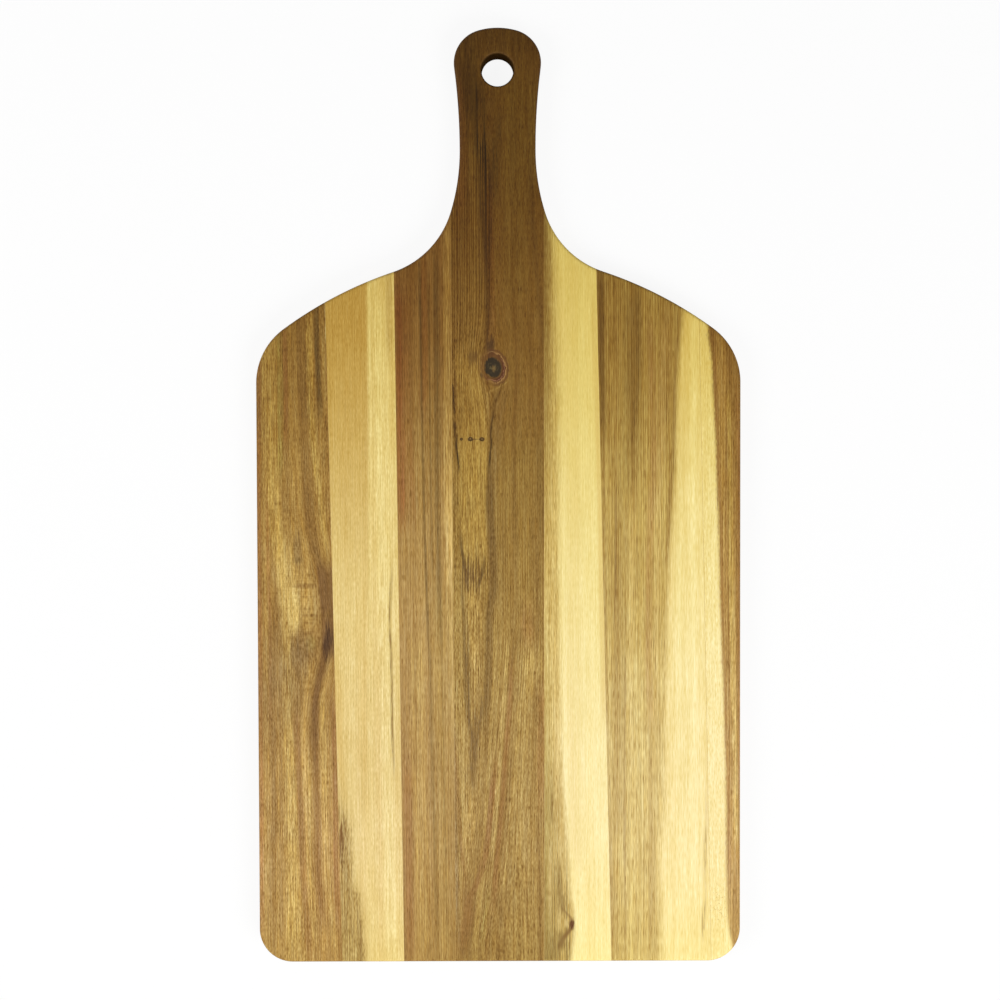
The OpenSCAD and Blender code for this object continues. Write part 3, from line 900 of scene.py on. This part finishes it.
# %% Paint the dark heartwood
BULGE_WIDE, BULGE_LONG, BULGE = 110, 520, 0.8  # how the fibres give way to the knot
wood = Wood("dark_heartwood", 37, 0.25)
away_x, away_y = wood.line - KNOT.x, wood.y - KNOT.y
bulge = (away_x * away_x / -BULGE_WIDE + away_y * away_y / -BULGE_LONG).math("EXPONENT") * BULGE
wood.line = wood.line - away_x * bulge
wood.follow(GOLDEN_LINE, 5.1, 11, 22)
wood.base((143, 109, 52), (170, 138, 71), 2.0, 0.85)
wood.strands(DARK_STRANDS)
left_half = wood.rise(wood.line, -3, -9) * wood.rise(wood.y, 20, 90)
wood.comb(left_half * wood.rise(wood.y, 226, 190) + wood.rise(wood.y, 60, 0) * 0.45, left_half * 1.4)
broken = 0.42 + wood.stripes * 2.0 + wood.threads * 1.6
for half, soft, points in DARK_STREAKS:
    wood.stroke(BLACK, broken, half, soft, points)
dashes = wood.rise(wood.threads + wood.fibre * 0.5, -0.04, 0.12)
for points in FLAME_STROKES:
    wood.stroke((92, 66, 34), dashes * 0.8, 0.8, 1.6, points, 5)
wood.stroke(DARK, 0.6, 0.9, 1.6, FIELD_EDGE, 6)
wood.blot((104, 74, 42), 0.75, (-16.2, -46.5, 5.6, 6.5), wood.threads * 2.4 + wood.stripes * 2)
wood.stroke(BLACK, 0.8, 0.4, 0.6, FIELD_CRACK, 4)
for check in CHECKS:
    wood.stroke(BLACK, 0.85 + wood.threads * 2.5, 0.7, 1.0, check, 3)
wood.blot(BLACK, 0.42, (-17, 246, 9, 30), wood.threads)
# painted shade: darker still at the very end of the handle
wood.layer(BLACK, wood.rise(wood.y, 256, 276) * 0.22)
# painted shade along the stave, darker towards the handle, over the wood's own tone
painted_light_and_tone = {280: 0.31, 220: 0.35, 190: 0.39, 150: 0.48, 110: 0.61, 60: 0.73, 0: 0.8, -40: 0.86, -80: 0.98, -160: 1.07,
    -210: 1.04, -280: 0.9}
wood.wash((140, 95, 42), {210: 0, 130: 0.3, 80: 0.3, 20: 0})
calm = wood.rise(wood.line, -7, 2) * wood.along({280: 0.35, 0: 0.4, -100: 0.25, -280: 0.3})
calm = calm + wood.rise(wood.spot(-15, 15, 12, 60), 1.2, 0.6) * 0.3 + left_half * wood.rise(wood.y, 90, 120) * 0.4
wood.grain(0.35, 0.27, 0.9 - calm, 0.28, painted_light_and_tone, tinge=1.3)
print("nodes before the knots:", len(wood.tree.nodes))

# %% [markdown]
# ## The knots of the handle stave
#
# The knots go on last, over the finished grain, since a branch has a grain of its own. The large one is a tilted
# ellipse, and its distance from the middle is all that the rings need: each ring is a narrow range of that distance.
# A mask for its right side and one for its low side keep the rings from being even all the way round. The wall of the
# hanging hole is raw end grain with no sheen, and it is painted dark, partly as darker end grain and partly as
# painted shade inside the hole.

# %% The hole, the large knot and the pin knots
KNOT_TILT = math.radians(16)
wood.line = wood.x
# the hole's wall and rim: raw wood, painted dark as end grain and as shade inside the hole
raw_wall_with_painted_shade = wood.rise(wood.spot(0, TIP_Y - HOLE_INSET, HOLE_D / 2, HOLE_D / 2), 1.1, 1.01)
wood.layer((56, 39, 20), raw_wall_with_painted_shade * 0.9)
wood.blot((70, 48, 28), 0.7, (-4.6, 90, 3.4, 7), wood.threads)
wood.blot((90, 60, 30), 0.55, (-14.5, 84, 4, 5), wood.threads * 2)
wood.blot((60, 40, 24), 0.6, (-10.2, 73.4, 1.1, 2.0), wood.fibre, edge=(1.2, 0.3))
cosine, sine = math.cos(KNOT_TILT), math.sin(KNOT_TILT)
away_x, away_y = wood.x - KNOT.x, wood.y - KNOT.y
turned_x = (away_x * cosine + away_y * sine) / KNOT_RX
turned_y = (away_y * cosine - away_x * sine) / KNOT_RY
size = (turned_x * turned_x + turned_y * turned_y).math("SQRT") + wood.threads * 0.15 + wood.fibre * 0.15
wander = wood.noise(2.0, 2.6, 2.0, 1) - 0.5
size = size + wander * 0.3
right_side = wood.rise(turned_x - turned_y * 0.15, -0.7, 0.5)
low_side = wood.rise(turned_y - turned_x * 0.5, 0.4, -0.8)
halo = wood.rise(size, 2.1, 1.4)
wood.layer((110, 72, 38), halo * (0.3 + right_side * 0.35))
wood.layer((82, 46, 25), wood.rise(abs(size - 1.3), 0.26, 0.1) * (0.15 + right_side * 0.3 + low_side * 0.45))
wood.layer((96, 60, 32), wood.rise(abs(size - 1.78), 0.14, 0.04) * right_side * 0.6)
arc = wood.rise(wood.fibre + wander * 1.4, -0.5, 0.1)
wood.layer((190, 146, 90), wood.rise(abs(size - 1.55), 0.1, 0.02) * (right_side * 0.5 + 0.06) * arc)
wood.layer((172, 120, 84), wood.rise(abs(size - 1.36), 0.08, 0.02) * low_side * arc * 0.5)
wood.layer((46, 40, 28), wood.rise(size, 1.18, 0.86) * 0.94)
wood.layer((104, 90, 56), wood.rise(size, 0.85, 0.3) * wood.rise(wander + wood.fibre * 0.8, 0.0, 0.16) * 0.6)
wood.blot((150, 116, 62), 0.45, (KNOT.x + 0.5, KNOT.y - 0.6, 1.5, 2.2), wood.fibre, edge=(1.2, 0.1))
wood.blot((84, 62, 32), 0.6, (-13.4, 35.2, 2.6, 0.5), wood.fibre, edge=(1.2, 0.5))
for x, y, radius in PIN_KNOTS:
    oval, rough = (x, y, 2.0 * radius, 1.7 * radius), wood.fibre * 0.5
    wood.blot((74, 52, 26), 0.9, oval, rough, (1.1, 0.8))
    wood.blot((170, 134, 74), 0.6, oval, rough, (0.5, 0.1))
woods["handle_stave"] = wood.finish(raw_wall_with_painted_shade)

# %% [markdown]
# ## The inner right stave
#
# Pale sapwood with an olive band of heartwood along its left edge, which has light and dark streaks near the base. A
# small knot sits there where the two meet, and leaves a brown tail.

# %% Strands of the pale sapwood
PALE_STRANDS = [
    ("bright band", PALE, 0.5, 2.4, 3.0, {142: 38, 58: 39, -2: 39.5, -74: 40.6, -158: 42.9, -231: 47.6}),
    ("honey band", HONEY, 0.2, 5.0, 6.0, {141: 44.6, 100: 42.1, 58: 43.2, 16: 44.3, -38: 45.5, -92: 46, -158: 45.9,
        -219: 47}),
    ("honey edge", HONEY, 0.5, 1.5, 1.8, {118: 57.1, 58: 58.8, -2: 60.5, -62: 61.7, -134: 62.8}),
]
OLIVE_EDGE = {164: 32, 154: 33.2, 100: 34.9, 46: 35.7, -14: 35.9, -62: 36.1, -122: 36.9, -177: 38.6, -207: 41,
    -237: 42.7, -257: 45.1, -271: 43.9, -281: 42.7}
STREAK_LIGHT, STREAK_DARK = (222, 196, 124), (134, 108, 54)
OLIVE_STREAKS = [
    (STREAK_LIGHT, 30.4, -234, 1.5, 34),
    (STREAK_LIGHT, 35.6, -252, 1.4, 13),
    (STREAK_DARK, 36.2, -233, 1.6, 17),
    (STREAK_DARK, 33.2, -272, 3.6, 11),
    (STREAK_DARK, 31.5, -186, 1.2, 12),
    (STREAK_LIGHT, 35, -150, 1.4, 26),
    (STREAK_DARK, 38.4, -245, 1.5, 7),
    (STREAK_DARK, 37.6, -267, 2.6, 6),
]
KNOT_TAIL = {-259: 42.6, -262: 41, -266: 38.2, -272: 35.4}
print(len(PALE_STRANDS), "strands")

# %% Paint the pale sapwood
wood = Wood("pale_sapwood", 51, 0.3)
wood.base((246, 226, 153), (253, 239, 174), 1.2, 1.3)
wood.strands(PALE_STRANDS)
# painted shade along the stave, darker towards the handle, over the wood's own tone
painted_light_and_tone = {160: 0.75, 60: 0.83, 0: 0.89, -60: 0.92, -120: 0.95, -280: 0.93}
wood.comb(0.22)
wood.grain(0.1, 0.06, 0.16, 0.02, painted_light_and_tone, 1.45, 3.2, 0.4)
pale = wood.colour
wood.ground((194, 163, 88), (218, 189, 112))
wood.wash((122, 92, 42), {160: 0.78, 60: 0.54, 0: 0.15, -120: 0}, 36, 26)
wood.wash(OLIVE, {-60: 0, -160: 0.5, -280: 0.7}, 34, 28)
wood.layer((146, 121, 64), wood.along({-140: 0, -200: 0.25, -280: 0.62}) * (0.85 + wood.stripes * 4))
for colour, *oval in OLIVE_STREAKS:
    wood.blot(colour, 0.6, oval, wood.threads * 1.2 + wood.stripes, (1.3, 0.2))
# painted shade along the stave, darker towards the handle, over the wood's own tone
painted_light_and_tone = {160: 0.69, 60: 0.82, 0: 0.94, -40: 1.03, -80: 1.1, -120: 1.08, -160: 1.02, -200: 1.03, -280: 0.92}
wood.grain(0.3, 0.34, 0.5, 0.2, painted_light_and_tone, 1.35, 2.1, 1.0)
soft = wood.along({160: 5, 60: 4.6, 0: 3.4, -120: 2.4, -280: 2.2}, 0, 6)
wood.layer(pale, wood.rise((wood.line + wood.ragged * 1.5 - wood.course(OLIVE_EDGE)) / soft, -1, 1))
strength = wood.along({-246: 0.3, -254: 0.6, -258: 0.7, -262: 0.6, -268: 0.4})
wood.stroke((120, 84, 42), strength, 0.9, 2.0, [(-246, 36.9), (-249, 39), *SMALL_KNOT], 3)
strength = wood.along({-258: 0.3, -262: 0.65, -268: 0.6, -278: 0.2})
wood.stroke((128, 94, 46), strength, 1.6, 2.4, KNOT_TAIL, 3)
wood.blot((222, 196, 128), 0.6, (40.4, -256.4, 1.5, 3.2), wood.threads, edge=(1.2, 0.3))
wood.blot((96, 54, 26), 0.9, (43.3, -257.6, 1.7, 3.4), wood.fibre * 1.5, edge=(1.2, 0.5))
woods["inner_right_stave"] = wood.finish()

# %% [markdown]
# ## The wide right stave
#
# Grey-brown heartwood in many fine stripes, darkest at its left edge near the shoulder, which turns to sapwood on
# the right along a line that wanders inwards towards the base. The sapwood has a few dark flecks.

# %% Strands of the streaked heartwood
STREAKED_STRANDS = [
    ("dark edge at the glue", (122, 90, 40), 0.75, 2.2, 3.6, {135: 60.9, 100: 61.2, 58: 61.8, 34: 62.4}),
    ("dark band", (124, 92, 40), 0.36, 5.4, 7.0, {124: 79.2, 94: 79.8, 58: 79.2, 28: 78.5, -2: 76.1}),
    ("dark strand", (116, 82, 34), 0.55, 1.4, 2.6, {124: 83.4, 100: 83.4, 64: 82.8, 34: 80.9}),
    ("tan band", TAN, 0.7, 3.4, 4.0, {112: 100.4, 90: 100, 70: 99, 28: 96.4, -14: 91.6}),
    ("red band", RED, 0.4, 2.2, 3.0, {105: 91, 70: 92.4, 40: 92.6, 16: 92.4}),
    ("dark rim at the sapwood", BROWN, 0.45, 1.3, 2.0, {103: 108.2, 70: 105.9, 34: 105, -2: 102.7, -38: 100.8}),
    ("low dark band", BROWN, 0.4, 3.6, 3.0, {-2: 74.3, -38: 73.7, -74: 73.1, -116: 72.4, -201: 72.4}),
    ("dark line", (124, 90, 44), 0.5, 0.5, 0.9, {10: 70.1, -26: 70.1, -74: 69.5}),
    ("low dark line", (140, 104, 50), 0.55, 0.7, 1.2, {-98: 76.1, -134: 75.4, -177: 75.1, -225: 75.4, -274: 75.9}),
    ("honey strand", TAN_PALE, 0.2, 1.8, 2.2, {16: 80.9, -26: 79.7, -74: 79.1, -122: 79, -171: 80.2, -219: 81.4}),
    ("right honey strand", TAN_PALE, 0.35, 1.4, 2.0, {10: 96.5, -38: 95.3, -86: 94.1, -134: 94.1}),
    ("red strand", RED, 0.35, 2.1, 2.4, {16: 92.3, -38: 90.5, -86: 89.9, -134: 91.1}),
    ("low right strand", BROWN, 0.35, 1.6, 2.0, {-146: 91.1, -183: 91.1, -219: 91.7, -262: 91}),
    ("low dark edge", BROWN, 0.45, 1.2, 1.2, {34: 62.4, -14: 62.9, -62: 63.5, -122: 64.6, -183: 65.7, -274: 68.1}),
]
FLECKS = {-150: 125.6, -180: 125, -205: 124.2, -220: 123.4, -238: 123.8, -255: 123.2, -265: 122.6}
DARK_FLECKS = [{-200: 124.3, -214: 123.9, -222: 123.9}, {-244: 123.4, -258: 122.8, -264: 122.7}]
SAP_EDGE = {118: 111.5, 100: 109.7, 70: 107.3, 34: 106.7, -2: 104.9, -38: 102.5, -74: 100.7, -128: 99.5, -183: 98.9,
    -219: 95.9, -256: 96.5, -281: 96.5}
print(len(STREAKED_STRANDS), "strands")

# %% Paint the streaked heartwood
wood = Wood("streaked_heartwood", 67, -0.3)
wood.base((184, 152, 81), (208, 180, 102), 2.2, 1.7)
wood.strands(STREAKED_STRANDS)
wood.wash((200, 173, 106), {-60: 0, -140: 0.2, -280: 0.2})
heart = wood.colour
soft = wood.along({120: 2.6, 0: 2.4, -150: 2.8, -280: 5}, 0, 6)
sap = wood.rise((wood.line + wood.ragged * 2 - wood.course(SAP_EDGE)) / soft, -1, 1)
wood.ground((246, 226, 156), (253, 238, 174))
edge = 1 - wood.rise(wood.line - wood.course(SAP_EDGE), 0, 9)
wood.layer(HONEY, edge * wood.along({120: 0.5, 0: 0.4, -120: 0.15}))
fleck = wood.rise(wood.threads + wood.fibre * 0.6, -0.08, 0.12)
wood.stroke(HONEY_DARK, fleck * 0.35, 1.1, 1.6, FLECKS, 12)
for points in DARK_FLECKS:
    wood.stroke((172, 140, 74), fleck * 0.7, 0.9, 1.5, points, 5)
# painted shade along the stave, darker towards the handle, over the wood's own tone
painted_light_and_tone = {130: 0.74, 60: 0.82, 0: 0.9, -120: 0.94, -280: 0.92}
wood.grain(0.12, 0.1, 0.2, 0.03, painted_light_and_tone, 1.5, 3.4, 0.4)
pale = wood.colour
wood.colour = heart
# painted shade along the stave, darker towards the handle, over the wood's own tone
painted_light_and_tone = {130: 0.54, 90: 0.63, 60: 0.73, 0: 0.95, -80: 1.12, -120: 1.19, -160: 1.27, -220: 1.18, -280: 1.1}
uneven = wood.along({120: 1.0, -60: 1.3, -280: 1.2}, 0, 2)
wood.comb(wood.along({120: 0.5, 0: 0.4, -80: 0.2, -280: 0.12}), uneven)
wood.grain(0.3, 0.32, 0.46, 0.26, painted_light_and_tone, 1.35, 1.95, 1.1)
wood.layer(pale, sap)
woods["wide_right_stave"] = wood.finish()

# %% [markdown]
# ## The outer right stave
#
# A narrow stave that is sapwood at the glue and reddish heartwood at the rim. The sapwood has a few dark specks near
# the base.

# %% Strands of the speckled sapwood
SPECKLED_STRANDS = [
    ("dark inner edge", (140, 96, 46), 0.5, 1.4, 2.0, {100: 127.6, 70: 129.5, 40: 130.7, -2: 132.2, -44: 133.5,
        -86: 134.1, -134: 135.3, -183: 137.2, -231: 138.2}),
    ("golden strand", GOLD, 0.6, 1.4, 1.8, {64: 137.3, 28: 138.5, -14: 139.1, -62: 139.8, -110: 140.4, -159: 141.7,
        -207: 142.4}),
    ("dark outer rim", RED, 0.35, 1.2, 1.2, {64: 142.6, 28: 143.9, -38: 144.3, -110: 144.7, -183: 145}),
]
HEART_EDGE = {97: 125.3, 79: 127.6, 61: 128.3, 43: 129.4, 7: 130.8, -29: 131.9, -65: 132.6, -101: 133.9, -137: 135.1,
    -174: 136.2, -228: 136.6, -259: 138.2, -271: 140.6}
print(len(SPECKLED_STRANDS), "strands")

# %% Paint the speckled sapwood
wood = Wood("speckled_sapwood", 83, 0.35)
wood.base((246, 226, 156), (253, 238, 174))
specks = wood.rise(wood.noise(0.55, 0.7, 0.6), 0.67, 0.75) * wood.rise(wood.spot(132, -246, 7, 16), 1.2, 0.3)
wood.layer(HONEY_DARK, specks * 0.7)
# painted shade along the stave, darker towards the handle, over the wood's own tone
wood.grain(0.12, 0.1, 0.24, 0.05, {110: 0.74, 60: 0.82, 0: 0.9, -120: 0.94, -280: 0.92}, 1.5, 3.4, 0.4)
pale = wood.colour
wood.colour = wood.mix(wood.bands * 1.4 + 0.5, (156, 118, 58), (188, 150, 80))
wood.strands(SPECKLED_STRANDS)
# painted shade along the stave, darker towards the handle, over the wood's own tone
painted_light_and_tone = {110: 0.52, 60: 0.76, 0: 0.86, -40: 0.99, -80: 1.07, -120: 1.28, -160: 1.32, -280: 1.23}
wood.comb(0.4, 1.2)
wood.grain(0.25, 0.3, 0.54, 0.26, painted_light_and_tone)
heart = wood.rise(wood.line + wood.ragged * 2 + wood.fibre * 2 - wood.course(HEART_EDGE), -1.3, 1.1)
wood.layer(pale, 1 - heart)
woods["outer_right_stave"] = wood.finish()

# %% [markdown]
# ## The glue
#
# Dried wood glue is amber, and only a hair of it shows between two staves. It takes the same steps as the woods, with
# hardly any figure.

# %% Amber glue
wood = Wood("amber_glue", 97, 0.2)
wood.base((206, 172, 106), (184, 148, 86))
# painted shade along the stave, darker towards the handle
wood.grain(0.2, 0.3, 0.3, 0.05, {150: 0.6, 0: 0.9, -280: 1})
glue = wood.finish()

# %% [markdown]
# ## Thirteen pieces from one tree
#
# The tree now runs once for each stave and once for each film of glue. The flat faces are shaded flat and the
# quarter-rounds smooth, so the rounding shows and the flat face stays even. Each piece then takes the place of its
# CAD node.

# %% Cut and dress the pieces
STAVES = list(woods)  # from left to right
FLAT, SHARP_FROM = 0.99999, math.radians(40)


def cut_piece(name, left, right, material, mark=None):
    """Cuts one piece out of the blank. A line is its place at the base and its shift to the left along the sides."""
    values = {
        "Left line": left[0] * MM, "Left shift": left[1] * MM,
        "Right line": right[0] * MM, "Right shift": right[1] * MM,
        "Base": BASE_Y * MM, "Side length": SIDE_LENGTH * MM, "Reach": (TIP_Y + SPARE) * MM, "Wood": material,
    }
    if mark:
        values["Marks"] = mark
    mesh = run_tree(blank, cut_tree, values)
    mesh.name = name + "_mesh"
    sides = [Vector((1, line[1] / SIDE_LENGTH, 0)).normalized() for line in (left, right)]
    for face in mesh.polygons:
        glued = max(abs(face.normal.dot(side)) for side in sides) > FLAT
        face.use_smooth = abs(face.normal.z) < FLAT and not glued
    mesh.set_sharp_from_angle(angle=SHARP_FROM)
    piece = bpy.data.objects.new(name + "_wood", mesh)
    bpy.context.scene.collection.objects.link(piece)
    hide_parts(name)
    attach(piece, "root")
    return piece


lines = [(-OUTSIDE, 0)] + list(zip(LINE_X, LINE_SHIFT)) + [(OUTSIDE, 0)]
half_film = GLUE_FILM / 2
for i, name in enumerate(STAVES):
    (left, left_shift), (right, right_shift) = lines[i], lines[i + 1]
    left, right = (left + half_film, left_shift), (right - half_film, right_shift)
    piece = cut_piece(name, left, right, woods[name], marks.get(name))
    print(f"{piece.name}: {len(piece.data.polygons)} faces")
for i, (line, shift) in enumerate(zip(LINE_X, LINE_SHIFT)):
    piece = cut_piece(f"glue_line_{i + 1}", (line - half_film, shift), (line + half_film, shift), glue)
for spent in [piece.data for piece in marks.values()] + [blank]:
    bpy.data.meshes.remove(spent)

# %% [markdown]
# ## The studio
#
# The photograph was taken straight from above on white. The floor is a pale sheet that sweeps up at its edges. To
# the camera it shines white, so that it also reads white through the hole, but a part of it stays plain paint that
# keeps the board's soft shadow. Two large soft lamps stand to the sides, away from the mirror direction, so the oiled
# wood keeps its depth of colour, and the nearer one makes the base a little brighter than the handle. Most of the
# fall of light towards the handle is painted shade in the woods, not lamp light.


# %% Floor that sweeps up
FLOOR_PROFILE = [(0, 0), (2.0, 0), (2.6, 0.06), (3.1, 0.25), (3.5, 0.6), (3.7, 1.1), (3.75, 1.8)]  # in metres
FLOOR_GAP, FLOOR_SIDES = 0.0004, 64
PAPER_GREY, SHINE_SHARE = 0.92, 0.9


def make_floor():
    mesh = bmesh.new()
    line = [mesh.verts.new((r, 0, z - FLOOR_GAP)) for r, z in FLOOR_PROFILE]
    edges = [mesh.edges.new(pair) for pair in zip(line, line[1:])]
    turn = {"cent": (0, 0, 0), "axis": (0, 0, 1), "angle": math.tau, "steps": FLOOR_SIDES}
    bmesh.ops.spin(mesh, geom=line + edges, use_merge=True, **turn)
    bmesh.ops.remove_doubles(mesh, verts=mesh.verts, dist=1e-5)
    bmesh.ops.recalc_face_normals(mesh, faces=mesh.faces)
    data = bpy.data.meshes.new("floor")
    mesh.to_mesh(data)
    mesh.free()
    for face in data.polygons:
        face.use_smooth = True
    return data


floor = bpy.data.objects.new("floor", make_floor())
bpy.context.scene.collection.objects.link(floor)
paper = bpy.data.materials.new("white_paper")
paper.use_nodes = True
paper.node_tree.nodes.clear()
sheet = Tree(paper.node_tree)
rays = sheet.node("ShaderNodeLightPath").socket.node.outputs
camera, glossy, through = (Term(sheet, rays[f"Is {ray} Ray"]) for ray in ("Camera", "Glossy", "Transmission"))
seen = camera.math("MAXIMUM", glossy).math("MAXIMUM", through)
matte = sheet.node("ShaderNodeBsdfDiffuse", {"Color": (PAPER_GREY, PAPER_GREY, PAPER_GREY, 1)})
shine = sheet.node("ShaderNodeEmission", {"Color": (1, 1, 1, 1), "Strength": 1.0})
surface = sheet.node("ShaderNodeMixShader", (seen * SHINE_SHARE, matte, shine))
sheet.node("ShaderNodeOutputMaterial", (surface,))
floor.data.materials.append(paper)
print("floor:", len(floor.data.polygons), "faces")


# %% Lamps and world
def soft_lamp(name, place, aim, size, watts):
    data = bpy.data.lights.new(name, "AREA")
    data.shape, data.size, data.size_y, data.energy = "RECTANGLE", size[0], size[1], watts
    lamp = bpy.data.objects.new(name, data)
    lamp.location = place
    lamp.rotation_euler = (Vector(aim) - Vector(place)).to_track_quat("-Z", "Y").to_euler()
    lamp.visible_camera = False
    bpy.context.scene.collection.objects.link(lamp)


soft_lamp("key_lamp", (0.75, -0.85, 1.15), (0.05, -0.1, 0), (1.0, 0.8), 17)
soft_lamp("fill_lamp", (-1.0, -0.25, 1.15), (0, 0, 0), (1.0, 0.8), 12)
world = bpy.data.worlds.new("studio")
world.use_nodes = True
sky = world.node_tree.nodes["Background"].inputs
sky["Color"].default_value = (1, 1, 1, 1)
sky["Strength"].default_value = 0.25
bpy.context.scene.world = world
print("lamps:", ", ".join(light.name for light in bpy.data.lights))

# %% Camera at the photograph's angle
TILT, ROLL = math.radians(1.594), math.radians(-0.1614)
LOOK_AT, DISTANCE = Vector((0.82, -1.23, 14.0)) * MM, 1.0
camera_data = bpy.data.cameras.new("camera")
camera_data.lens, camera_data.sensor_width = 60.0, 36.0
camera = bpy.data.objects.new("camera", camera_data)
place = LOOK_AT + DISTANCE * Vector((0, math.sin(TILT), math.cos(TILT)))
camera.matrix_world = Matrix.Translation(place) @ Matrix.Rotation(-TILT, 4, "X") @ Matrix.Rotation(ROLL, 4, "Z")
bpy.context.scene.collection.objects.link(camera)
bpy.context.scene.camera = camera
bpy.context.scene.view_settings.view_transform = "Standard"
print("camera at", [round(c, 4) for c in place])

# %% [markdown]
# ## The size of the finished board
#
# The dressed board has to be as large as the CAD model, and no larger.
